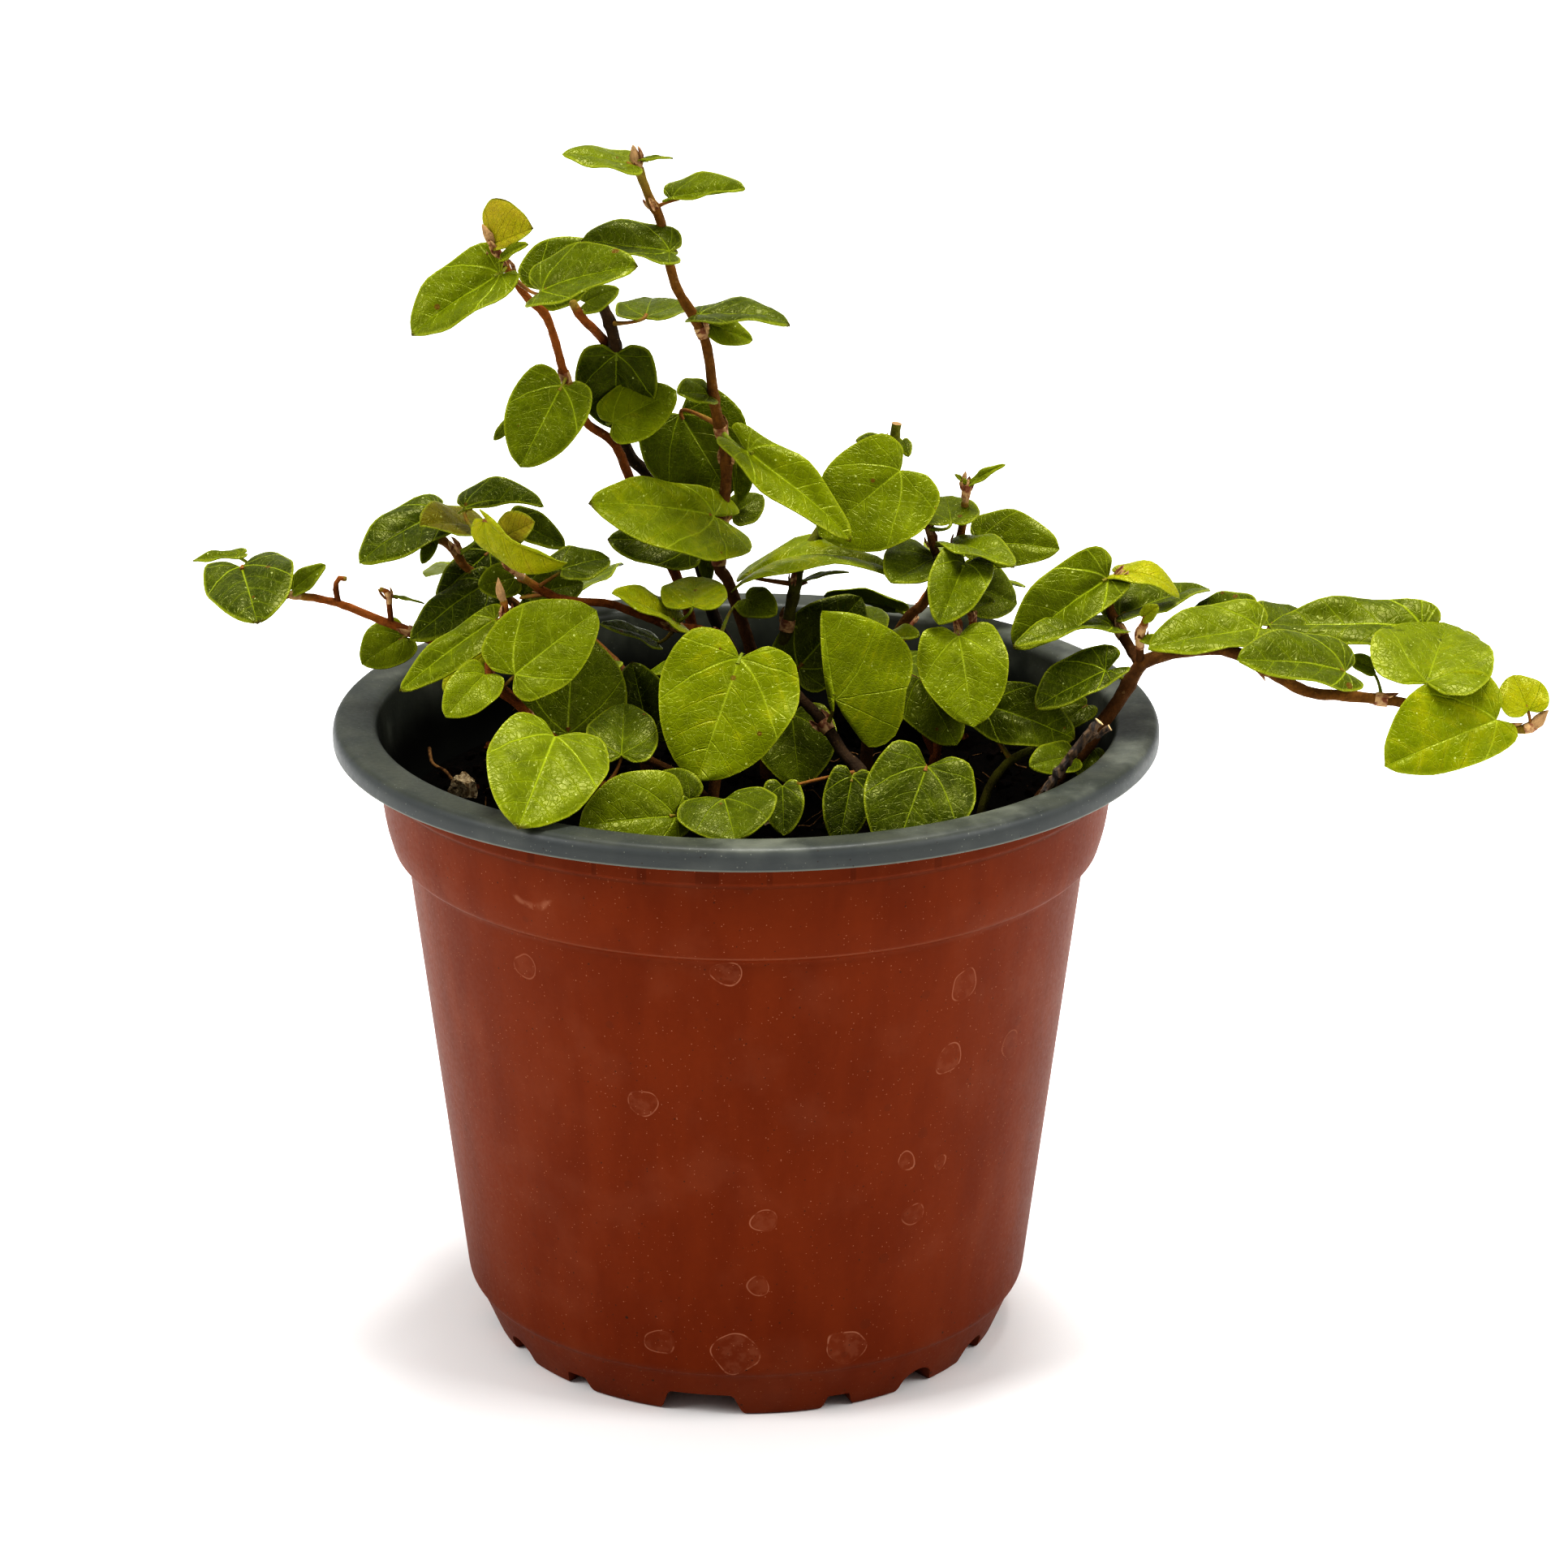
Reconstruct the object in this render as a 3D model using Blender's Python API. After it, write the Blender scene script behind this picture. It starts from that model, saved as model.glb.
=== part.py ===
"""Creeping fig in a plastic nursery pot.

The origin is on the pot's axis at the floor, +Z is up and the front of the pot faces -Y.
The plant stands in soil that fills the pot to just under its rim. Each leafy stem is one
body: its tube, its side shoots and its leaves are fused. All lengths in the tables are
millimetres, and MM turns them into metres when a mesh is made.
"""
import math
from typing import NamedTuple

import bmesh
import bpy
from mathutils import Vector

MM = 0.001
SHARP_ANGLE = 35.0

# Driving dimensions of the pot
RIM_RADIUS = 60.0
POT_HEIGHT = 95.0
LIP_DROP = 3.2
FOOT_RADIUS = 37.8
FLOOR_TOP = 4.8
POT_STEPS = 40
SOIL_STEPS = 24

# The outside of the pot from the middle of the underside up to the lip, then down the inside
POT_PROFILE = [
    (0.0, 0.0), (8.0, 0.0), (8.6, 4.0), (30.0, 4.0), (30.8, 0.0), (FOOT_RADIUS, 0.0),
    (41.0, 7.6), (41.9, 8.4), (49.7, 75.1), (51.6, 76.3), (52.7, 80.0), (53.9, 90.7),
    (54.4, 91.2), (54.3, 93.4), (58.7, 93.9), (59.2, POT_HEIGHT - LIP_DROP),
    (RIM_RADIUS, POT_HEIGHT - LIP_DROP), (RIM_RADIUS, 93.9), (59.2, POT_HEIGHT),
    (54.6, 94.8), (53.6, 94.2), (51.9, 80.6), (48.9, 74.9), (41.0, 8.6),
    (37.4, FLOOR_TOP), (0.0, FLOOR_TOP),
]

# Foot notches repeat three times round the pot, from a front notch turned a little to the left
NOTCH_SECTORS = 3
NOTCH_START = -9.7
# Angle from the sector's middle, half width and height of each notch, in degrees and mm
NOTCHES = [(0.0, 8.7, 3.8), (-30.0, 3.2, 2.5), (30.0, 3.2, 2.5), (-50.0, 4.6, 3.5), (50.0, 4.6, 3.5)]
NOTCH_FLARE = 0.9
NOTCH_TAPER = 0.8
NOTCH_START_RADIUS = 29.4
NOTCH_REACH = 14.0
# The cutters start this far below the floor
BELOW_FLOOR = -0.6
DRAIN_HOLES = 6
DRAIN_RADIUS = 2.5
DRAIN_CIRCLE = 20.0
DRAIN_FIRST = 15.0
HOLE_SIDES = 7

# Soil: clear of the pot's inside, with a gently uneven top
SOIL_SIDE = [(0.0, 5.2), (37.1, 5.2), (40.5, 8.9), (48.4, 74.8), (50.7, 79.3)]
SOIL_RINGS = [(44.0, 79.9), (32.0, 80.3), (18.0, 80.6)]
SOIL_CENTRE = 80.5
# Points higher than the soil's edge by this much take the bumps
SOIL_EDGE = 0.3
# Height of the soil's bumps, and how fast a broad swell and a finer ripple follow x and y
SOIL_BUMP = 0.9
SOIL_SWELL = (0.19, 0.23)
SOIL_RIPPLE = (0.41, 0.33)
SOIL_PHASE = 0.7
SWELL_SHARE = 0.6
HOLE_CLEARANCE = 0.4
HOLE_FLOOR = 72.0
HOLE_CUTTER_LENGTH = 30.0

STEM_SIDES = 5
LONG_STRETCH = 9.5
PETIOLE_SIZE = 0.42
# How far a stalk bows back and drops, as shares of its length, and the furthest bow
STALK_BACK = 0.45
STALK_DROP = 0.2
STALK_ENDS = 0.3
STALK_BOW = 1.4
STALK_LEAN = 1.0
STALK_OVERLAP = 0.9
HOOK_STEPS = 4
WIDEST_NOTCH = 0.5
# No stalk is rooted nearer to the end of a stretch of shoot than this share of it
SHOOT_END = 0.05
BLADE_THICKNESS = 0.72
LARGE_LEAF = 12.4
# Half outline of a blade from the notch to the tip: share of the half width, share of the length
LARGE_OUTLINE = [(0.38, -0.13), (0.80, -0.06), (1.0, 0.28), (0.84, 0.62), (0.40, 0.90)]
SMALL_OUTLINE = [(0.62, -0.08), (1.0, 0.28), (0.62, 0.76)]
LARGE_MIDRIB = [0.30, 0.66]
SMALL_MIDRIB = [0.45]
# Height of the waves along a blade's edge as a share of its length, and how fast they follow
EDGE_WAVE = 0.035
WAVE_PITCH = 9.0
WAVE_SHIFT = 2.0
MIDRIB_ZONE = 0.06
LEAST_BEND = 0.5
# A half slimmer than this share of the length has no lobe of its own
SLIM_HALF = 0.15

COLOURS = {
    "pot": (0.16, 0.03, 0.015, 0.45),
    "soil": (0.012, 0.009, 0.007, 0.95),
    "dry_twig": (0.20, 0.11, 0.06, 0.85),
    "leaf": (0.16, 0.27, 0.01, 0.45),
}


class Leaf(NamedTuple):
    """One leaf, in mm and degrees.

    base and tip are the ends of the midrib, face the azimuth and elevation that the upper side
    looks to (azimuth 0 is the front), half the left and right half widths as shares of the
    length, fold the rise of each half from the midrib, bend the droop along the midrib, and
    lobe how far the base lobes reach back past the notch, 1 being usual.
    """

    base: tuple
    tip: tuple
    face: tuple
    half: tuple
    fold: float
    bend: float
    lobe: float = 1.0


class Shoot(NamedTuple):
    """One round stem or side shoot: its end radii and the points that it runs through."""

    radii: tuple
    route: list


# Stems and leaves of the plant, one entry for each leafy stem
PLANT = {
    "stem_tall": (
        [
            Shoot((1.05, 0.45), [
                (3, 14, 72.5), (3, 14, 84), (2.5, 13, 93), (0.7, 12, 100.5), (-2.5, 12, 110.5),
                (-4, 12, 114), (-3, 12, 125), (-3, 12, 130.5), (-4.5, 10, 138), (-6, 8, 148.5),
                (-10, 6, 156.5), (-12, 4, 166), (-13.5, 3, 169.5), (-15.2, 2, 174.5), (-15.8, 1.8, 177.4),
            ]),
        ],
        [
            Leaf((-15.8, 1, 174.9), (-25.6, 0, 176.5), (0, 77), (0.42, 0.38), 4, 8),
            Leaf((-14.6, 1.6, 175.4), (-10.2, 1, 175.7), (0, 90), (0.20, 0.20), 0, 20),
            Leaf((-10.4, 3, 169.6), (-0.1, 1, 171.4), (0, 74), (0.40, 0.10), 18, 4),
            Leaf((-10.8, 0.3, 162.5), (-23.2, 0, 164.2), (0, 69), (0.42, 0.40), 17, 12),
            Leaf((-6.6, 6, 152.2), (6.3, 4, 151.2), (0, 84), (0.38, 0.38), 7, 30),
            Leaf((-5.1, 9, 150), (1, 10.5, 147.4), (0, 40), (0.28, 0.36), 10, 10),
            Leaf((-5.6, 9, 139.8), (-9.8, 5, 141), (0, 50), (0.46, 0.46), 14, 10),
            Leaf((-9.6, 17, 134.8), (-2.4, 15, 123), (0, 24), (0.55, 0.60), 6, 12),
            Leaf((-4.6, 8, 122), (-22.5, 1, 126.1), (0, 56), (0.52, 0.27), 5, 14, 1.9),
            Leaf((-2, 14.5, 120.2), (2.4, 18, 122.3), (0, 45), (0.40, 0.50), 8, 10),
            Leaf((-6.1, 15, 114), (-5.5, 15, 109.5), (0, 20), (0.26, 0.26), 6, 5),
            Leaf((-1.4, 14, 128.3), (-1.2, 15.4, 121.6), (0, 30), (0.34, 0.10), 6, 5),
            Leaf((0.3, 5, 132.7), (15.2, -1, 120.9), (0, 66), (0.20, 0.28), 16, 12, 1.6),
        ],
    ),
    "stem_left_tall": (
        [
            Shoot((0.95, 0.45), [
                (-6, 21, 72.5), (-6, 21, 84), (-7, 20.5, 95), (-8.4, 20, 103), (-10.6, 19, 110.2),
                (-14.2, 17, 117.6), (-17, 14, 125.9), (-19.2, 12, 131.8), (-22.7, 11, 134.7),
                (-24.4, 10, 137.8), (-26, 10, 142), (-28.3, 8, 151), (-31, 6, 154.5),
                (-34.6, 4, 160.5), (-36.4, 3, 164.5), (-37.2, 3, 166),
            ]),
        ],
        [
            Leaf((-35.3, 3, 163.2), (-29.9, 1, 165.8), (0, 26), (0.92, 0.20), 8, 6),
            Leaf((-34.8, 2, 159.2), (-47.3, -1, 151), (0, 62), (0.40, 0.40), 18, 8),
            Leaf((-34.3, 2, 161.3), (-30.5, -0.5, 163.8), (0, 55), (0.26, 0.26), 15, 20),
            Leaf((-28.5, -6.5, 158.7), (-15, -10, 163), (0, 61), (0.40, 0.40), 16, 14),
            Leaf((-29.5, 12, 154.5), (-21.1, 16, 160), (0, 35), (0.50, 0.46), 8, 14),
            Leaf((-26.4, 7, 141.6), (-32.3, 1, 131.1), (0, 28), (0.42, 0.44), 6, 16),
            Leaf((-34.2, 10, 135.4), (-36.5, 10, 132.7), (0, 20), (0.25, 0.25), 0, 0),
            Leaf((-8.2, 13, 116.1), (-20.3, 12, 117.3), (0, 51), (0.40, 0.30), 6, 10),
        ],
    ),
    "stem_woody": (
        [
            Shoot((1.0, 0.85), [
                (2, 25, 72.5), (2, 25, 84), (-1.5, 24, 95), (-4.8, 23, 102.1), (-6.9, 22, 110.3),
                (-10.7, 21, 117.1), (-14.3, 20, 124.5), (-17.2, 18.5, 128.4), (-18.6, 17.5, 133.6),
                (-18.7, 16, 140.2), (-18.8, 13, 145.6), (-19.7, 12, 149.9), (-21.3, 12, 153.6),
            ]),
            Shoot((0.75, 0.6), [
                (-18.7, 15.6, 141.5), (-20.4, 13.4, 146.4), (-23.4, 9, 151), (-24.8, 8.6, 153.4),
            ]),
        ],
        [
            Leaf((-18.7, 12, 144.9), (-19, 14, 133.2), (0, 24), (0.51, 0.50), 6, 14),
            Leaf((-19.2, 9.5, 135.5), (-10.1, 13, 139.3), (0, 36), (0.42, 0.44), 6, 10),
            Leaf((-14.4, 10, 151), (-13.5, 20, 151.3), (0, 86), (0.46, 0.54), 5, 12),
            Leaf((-22.9, 8.6, 153.4), (-18.1, 8, 155.5), (0, 50), (0.36, 0.50), 5, 10),
        ],
    ),
    "stem_left_low": (
        [
            Shoot((0.85, 0.5), [
                (6, 4, 72.5), (6, 4, 84), (3, 3.5, 94), (-4.3, 2, 105.2), (-11, 0, 107.8),
                (-16.7, -2, 110.6), (-19.8, -3, 112), (-25, -5, 113.1), (-28.5, -6, 114.5),
                (-32.8, -8, 118.3), (-33.8, -8.4, 119.8),
            ]),
        ],
        [
            Leaf((-36.8, -9.5, 126.3), (-25.2, -13, 120.9), (0, -30), (0.08, 0.32), 10, 50),
            Leaf((-34, -6.8, 123.2), (-29.9, -8.6, 125.8), (0, 30), (0.60, 0.42), 10, 8),
            Leaf((-40, -2.5, 126.2), (-28.7, -3.5, 126.8), (0, 60), (0.36, 0.06), 10, 46),
            Leaf((-33.4, 2, 123), (-26, 0.5, 119.3), (0, 45), (0.34, 0.26), 10, 12),
            Leaf((-26.2, -7, 118.3), (-19.6, -2, 118.6), (0, 62), (0.44, 0.44), 8, 10),
            Leaf((-32, 0, 112.2), (-23.5, 2.5, 113.4), (0, 42), (0.40, 0.44), 8, 10),
            Leaf((-33.4, 0.5, 114.8), (-38.6, -1, 113.9), (0, 30), (0.50, 0.50), 6, 8),
            Leaf((-9.8, -4, 109.6), (-19.1, -8, 115.2), (0, 72), (0.34, 0.34), 10, 10),
            Leaf((-7.6, -5, 112.2), (-7.2, 4.5, 113.7), (0, 80), (0.50, 0.50), 6, 10),
            Leaf((0, 7.2, 109.6), (4.4, 3.4, 108.4), (0, 42), (0.46, 0.46), 8, 10),
            Leaf((-13.4, 3, 104.5), (-21.1, 1, 107.8), (0, 86), (0.40, 0.40), 6, 10),
        ],
    ),
    "stem_far_left": (
        [
            Shoot((0.85, 0.55), [
                (-22, 2, 72.5), (-22, 2, 83), (-30, 3, 92), (-41, 4, 101.5), (-48, 4, 105.3),
                (-53, 4, 107.3), (-57.7, 4, 109.4), (-61.7, 4, 110.6), (-66.2, 3, 111.6), (-67.6, 3, 112.6),
            ]),
            Shoot((0.45, 0.35), [(-59.2, 4, 110.2), (-59.5, 4, 112.4), (-59, 4, 113.7), (-58, 4, 113.6)]),
            Shoot((0.45, 0.35), [(-51.6, 4, 107), (-51.8, 4, 109.4), (-51.9, 4, 111.4), (-53, 4, 112.1)]),
        ],
        [
            Leaf((-73.3, 6, 115), (-69.8, -7, 110.3), (0, 50), (0.50, 0.43), 7, 14),
            Leaf((-73.6, 9, 116), (-80.6, 8, 115.2), (0, 80), (0.22, 0.22), 6, 8),
            Leaf((-65.4, 3, 112.4), (-60.9, 4.6, 115.6), (0, 55), (0.32, 0.32), 12, 8),
            Leaf((-50, 6, 104.2), (-56, 3, 101), (0, 36), (0.48, 0.54), 7, 10),
            Leaf((-51.4, 4.4, 111), (-46.8, 6, 109.4), (0, 95), (0.12, 0.12), 0, 5),
        ],
    ),
    "stem_left_back": (
        [
            Shoot((0.95, 0.55), [
                (-15, 9, 72.5), (-15, 9, 84), (-23, 9, 98), (-34, 7.5, 109), (-40.6, 6, 114.7),
                (-41.8, 6, 116.6), (-44, 6, 118.9), (-46.8, 4.5, 120.1), (-48.2, 3.8, 120.5),
            ]),
        ],
        [
            Leaf((-44.4, 6.5, 123), (-55.5, -2, 117.9), (0, 62), (0.36, 0.30), 8, 20),
            Leaf((-38, 3, 121.3), (-46.4, -5, 124.3), (0, 66), (0.42, 0.42), 8, 20),
            Leaf((-45.3, 4, 119.4), (-46.7, 1.6, 116.6), (0, 25), (0.28, 0.28), 5, 5),
            Leaf((-37.4, 8.5, 116.4), (-45, 4, 110.4), (0, 40), (0.40, 0.26), 7, 14),
            Leaf((-37.5, 4, 113), (-48.4, -3, 106.6), (0, 60), (0.34, 0.24), 8, 12),
            Leaf((-27, 11, 105), (-34, 22, 104), (10, 88), (0.46, 0.46), 6, 22),
        ],
    ),
    "stem_front_left": (
        [
            Shoot((0.9, 0.5), [
                (-20, -16, 72.5), (-20, -16, 84), (-24, -18.5, 93.5), (-29.5, -20, 99.2),
                (-31.9, -20, 102.1), (-35, -20, 104.9), (-36.3, -18, 107), (-35.5, -15.5, 110),
                (-34, -13, 113.4), (-34.8, -12.6, 117), (-35, -12.6, 118.8),
            ]),
        ],
        [
            Leaf((-32.4, -21.4, 107.2), (-21.1, -14, 114.4), (0, 34), (0.50, 0.38), 5, 12),
            Leaf((-36.7, -21.4, 107.2), (-41.8, -28, 103.1), (0, 36), (0.42, 0.36), 10, 12),
            Leaf((-35.6, -11.5, 112.2), (-48.8, -20, 104.4), (0, 62), (0.26, 0.20), 12, 12),
            Leaf((-37, -10, 106.6), (-43.1, -12.6, 101.6), (0, 62), (0.36, 0.36), 8, 10),
            Leaf((-26.3, -36, 102.9), (-30.7, -53, 95.7), (4, 34), (0.46, 0.42), 6, 8),
        ],
    ),
    "stem_centre": (
        [
            Shoot((0.95, 0.7), [
                (-5, -17, 72.5), (-5, -17, 83), (-4, -15, 92), (-2, -12, 100), (-1, -10, 105),
            ]),
            Shoot((0.75, 0.55), [(-5, -17, 82), (-11, -20, 88), (-19, -24, 91.5), (-23, -27, 93)]),
            Shoot((0.7, 0.5), [(-4.6, -16, 86), (-10, -14, 90), (-17, -13, 93), (-22, -12.6, 94.6)]),
        ],
        [
            Leaf((-0.9, -15, 107.6), (-7, -25, 92.6), (0, 30), (0.53, 0.51), 5, 10, 1.2),
            Leaf((-25.4, -14, 96.1), (-24.7, -4, 108.4), (0, 30), (0.44, 0.52), 6, 10),
            Leaf((-17.5, -24, 96.1), (-17.3, -13.6, 100.4), (0, 46), (0.46, 0.45), 6, 10),
            Leaf((-9.8, -36, 91.4), (-23, -40, 91.3), (0, 42), (0.27, 0.52), 6, 8),
            Leaf((-3, -34, 93.1), (-1.4, -42, 89.8), (0, 40), (0.80, 0.80), 6, 8),
            Leaf((-7.9, -28, 91), (-12.9, -24.4, 93.3), (0, 34), (0.56, 0.50), 6, 8),
            Leaf((-13.9, -9, 94.2), (-16.5, -4, 103.6), (0, 30), (0.40, 0.40), 6, 10),
        ],
    ),
    "stem_front": (
        [
            Shoot((1.2, 0.7), [
                (18, -20.5, 72.5), (18, -20.5, 83), (17.4, -19.4, 88), (15.9, -17, 91.8),
                (14.1, -15, 93), (12.2, -12, 95.3), (9.7, -10, 98), (7.4, -8, 99.8), (5.5, -5.5, 101.5),
            ]),
        ],
        [
            Leaf((12.6, -13, 100.1), (10.8, -8, 112.5), (0, 28), (0.08, 0.89), 6, 8, 3.7),
            Leaf((25.4, -25, 94.9), (20.4, -34.6, 84.6), (0, 34), (0.56, 0.50), 6, 10, 1.4),
            Leaf((15, -21, 92), (13, -27.5, 83.6), (0, 30), (0.32, 0.32), 6, 8),
            Leaf((6.5, -11.5, 98), (7.6, -19.4, 89.6), (0, 34), (0.54, 0.54), 6, 12),
            Leaf((5.1, -28, 93), (5.3, -33, 87.4), (0, 34), (0.40, 0.40), 6, 10),
        ],
    ),
    "stem_middle": (
        [
            Shoot((1.0, 0.7), [
                (7, 11, 72.5), (7, 11, 84), (5.8, 9, 95), (5.4, 8, 101.7), (6.3, 8, 106.7),
                (7, 8, 110.4), (7.8, 8.4, 114.1), (10.7, 11, 118.8), (16.5, 13, 126.4), (20.9, 13.4, 130),
                (21.9, 13, 134.4),
            ]),
        ],
        [
            Leaf((0.6, 7, 113.4), (22.2, 5, 113.5), (0, 86), (0.28, 0.28), 3, 72),
            Leaf((8, 9.5, 111.5), (15.1, 10.5, 112.8), (0, 104), (0.22, 0.22), 5, 24),
            Leaf((21.2, 14.6, 130.8), (15.9, 13, 131.8), (0, 70), (0.34, 0.34), 12, 20),
            Leaf((22.8, 15, 131.3), (23.6, 12.4, 129.6), (10, 60), (0.34, 0.34), 12, 20),
            Leaf((7.7, 6, 99.5), (17, 12, 108.5), (0, 26), (0.40, 0.42), 6, 8),
            Leaf((17.6, 12, 103.8), (19.6, 18, 105), (0, 40), (0.44, 0.44), 6, 8),
        ],
    ),
    "stem_right": (
        [
            Shoot((1.1, 0.5), [
                (18, 13, 72.5), (18, 13, 84), (20, 11.5, 97), (23.3, 10, 105.4), (26.2, 10, 108.3),
                (28.5, 10, 113.5), (31.1, 10, 117.8), (31.9, 9, 125), (32.3, 9, 127.2),
            ]),
            Shoot((0.7, 0.4), [(28.2, 10, 114), (27, 8.5, 118), (26.3, 7.8, 121)]),
        ],
        [
            Leaf((32.8, 8.8, 126.8), (37.4, 7.6, 129.8), (0, 60), (0.16, 0.16), 14, 10),
            Leaf((31.8, 8.8, 126.8), (30.2, 8, 128.2), (0, 40), (0.18, 0.18), 0, 0),
            Leaf((22.3, 8, 128.7), (10.6, 3.6, 120.1), (0, 34), (0.61, 0.50), 5, 14, 1.3),
            Leaf((29.7, 6, 121.6), (29.2, 13, 123.4), (0, 60), (0.62, 0.60), 6, 10),
            Leaf((34, 14, 116.3), (45.8, 10.4, 116.3), (0, 40), (0.42, 0.32), 6, 12),
            Leaf((30.2, 6.5, 118.2), (38.5, -1.4, 117), (0, 84), (0.34, 0.34), 14, 18),
            Leaf((31.6, 3, 116.4), (27.6, -7, 110), (0, 40), (0.40, 0.34), 20, 14),
            Leaf((27.2, 6.2, 115.9), (20.8, -1.2, 114.6), (0, 60), (0.37, 0.56), 8, 14),
            Leaf((32.4, 14, 110), (40, 16.5, 106), (0, 36), (0.50, 0.50), 6, 12),
        ],
    ),
    "stem_right_short": (
        [
            Shoot((0.9, 0.55), [
                (27, -1, 72.5), (27, -1, 84), (29, 0.5, 95), (30.8, 2.5, 104), (30.4, 3.4, 107.6),
            ]),
            Shoot((0.7, 0.5), [(29.2, 0.8, 96), (32, 3.5, 102), (33, 5, 107), (32.6, 5, 108.6)]),
            Shoot((0.6, 0.45), [(27.6, -0.6, 88), (23.5, 0.8, 97), (20.9, 1.8, 104)]),
        ],
        [
            Leaf((30.5, -6, 108), (32.4, -15, 97.3), (2, 30), (0.46, 0.47), 6, 10),
            Leaf((25, -3.4, 100.9), (30.2, -11, 93.2), (0, 34), (0.36, 0.42), 6, 10),
            Leaf((32.7, 3.4, 110), (35.9, 1.4, 111), (0, 60), (0.42, 0.42), 8, 10),
            Leaf((20.9, 1, 105.4), (25, -2, 106.8), (0, 66), (0.44, 0.44), 16, 20),
        ],
    ),
    "stem_right_low": (
        [
            Shoot((0.8, 0.5), [
                (34, -10, 72.5), (34, -10, 83), (37, -8.6, 89), (42, -6.4, 91.4), (46.5, -5, 91.6),
            ]),
        ],
        [
            Leaf((34.6, -6, 97.8), (47.1, -12, 94.6), (0, 46), (0.36, 0.36), 6, 8),
            Leaf((49.4, -1.6, 96.2), (44.9, -4.4, 93.6), (0, 60), (0.42, 0.42), 6, 8),
        ],
    ),
    "stem_right_long": (
        [
            Shoot((1.25, 0.6), [
                (41, -13, 72.5), (41, -13, 83), (46.4, -12, 90.4), (51.6, -10.6, 97.4), (53.5, -10, 100),
                (55.3, -9, 103), (56.6, -8, 104.5), (58.6, -8, 105.5), (62.9, -8, 106.5), (69.9, -8, 106.2),
                (79.8, -9, 100.9), (86.2, -10, 100.4), (93.8, -11, 99.7), (102.1, -12, 98.3),
                (110.7, -13, 96.3), (114.4, -13, 99.2),
            ]),
            Shoot((0.9, 0.5), [
                (56.6, -8, 104.3), (54.9, -5, 106.4), (53.6, -3, 108.4), (52.3, -1, 111.2),
                (53, -1, 114), (54, -1, 115.6),
            ]),
            Shoot((0.6, 0.4), [(56.4, -8, 104.4), (56.2, -9, 108.2), (56.5, -9.4, 110.7), (57, -9.4, 112.6)]),
        ],
        [
            Leaf((52, -1, 115.3), (38.3, -5, 106), (0, 47), (0.28, 0.35), 22, 8),
            Leaf((52.6, -4, 108.8), (38, -10.6, 107.9), (0, 88), (0.22, 0.22), 12, 30),
            Leaf((53.6, 0, 115.8), (62.3, -2, 112.5), (0, 79), (0.34, 0.34), 4, 70),
            Leaf((53.9, -1, 109.8), (67.6, 8, 111.1), (0, 80), (0.27, 0.30), 20, 10),
            Leaf((56.6, -9.6, 112), (58.6, -10.6, 114), (0, 40), (0.42, 0.42), 8, 5),
            Leaf((56.6, -9.8, 108.8), (59.4, -11, 108.8), (0, 60), (0.32, 0.32), 8, 5),
            Leaf((51.3, -10, 104.1), (41.2, -12, 99.2), (0, 60), (0.28, 0.43), 12, 8, 2.2),
            Leaf((72.1, 0.5, 109.8), (65.3, 6, 108.8), (0, 48), (0.44, 0.36), 6, 8),
            Leaf((73.3, -7.5, 109.8), (57, -13, 108.4), (0, 66), (0.26, 0.34), 8, 10),
            Leaf((75.4, -1.6, 108.4), (80.4, 6, 108.6), (0, 60), (0.44, 0.44), 6, 8),
            Leaf((97.8, 0, 107.6), (75.6, 0, 107.9), (0, 66), (0.26, 0.25), 7, 9),
            Leaf((85.4, -11.4, 104.7), (69.3, -16.4, 107.9), (0, 62), (0.28, 0.36), 8, 14),
            Leaf((97, -12, 103.2), (101.6, 2, 107.4), (0, 58), (0.60, 0.56), 6, 14),
            Leaf((103.4, 4, 104.5), (106.6, 2, 104.8), (0, 45), (0.36, 0.36), 6, 5),
            Leaf((106.8, -14, 98), (90.6, -18.4, 92.6), (0, 34), (0.28, 0.50), 5, 10),
            Leaf((111.5, -13, 99.2), (109.9, -8, 102.8), (0, 40), (0.60, 0.56), 8, 8),
            Leaf((90.3, -5, 102.8), (86.7, -4, 104.3), (0, 50), (0.40, 0.40), 6, 5),
            Leaf((46.4, -14.4, 92.8), (40.2, -18.4, 92.6), (0, 50), (0.40, 0.40), 6, 8),
            Leaf((49.8, -10.4, 92.4), (47.4, -14.4, 89.8), (0, 46), (0.40, 0.40), 6, 8),
        ],
    ),
    "stem_back_left": (
        [
            Shoot((0.85, 0.5), [
                (-14, 33, 72.5), (-14, 33, 83), (-20, 38, 90), (-30, 43, 98), (-38, 45, 102),
            ]),
        ],
        [
            Leaf((-12, 36, 89), (-2, 44, 88), (150, 60), (0.46, 0.46), 7, 16),
            Leaf((-22, 36, 91), (-33, 29, 89), (-60, 70), (0.44, 0.44), 7, 18),
            Leaf((-27, 44, 99.6), (-20, 54, 101), (180, 62), (0.46, 0.46), 7, 16),
            Leaf((-38, 44, 103), (-42, 31, 103), (-80, 62), (0.44, 0.44), 7, 18),
            Leaf((-40, 46.5, 102.4), (-50, 53, 99.6), (-150, 60), (0.44, 0.44), 7, 20),
        ],
    ),
    "stem_back_right": (
        [
            Shoot((0.85, 0.5), [
                (19, 32, 72.5), (19, 32, 83), (22, 37, 90), (27, 45, 97.6), (33, 53, 101.4),
            ]),
        ],
        [
            Leaf((17, 33, 90), (5, 31, 91), (180, 66), (0.46, 0.46), 7, 16),
            Leaf((23, 35, 91), (35, 30, 89.6), (60, 64), (0.46, 0.46), 7, 18),
            Leaf((24, 43, 97), (12, 47, 98), (180, 58), (0.44, 0.44), 7, 18),
            Leaf((31, 47, 100.4), (43, 43, 100.8), (120, 62), (0.46, 0.46), 7, 18),
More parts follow.
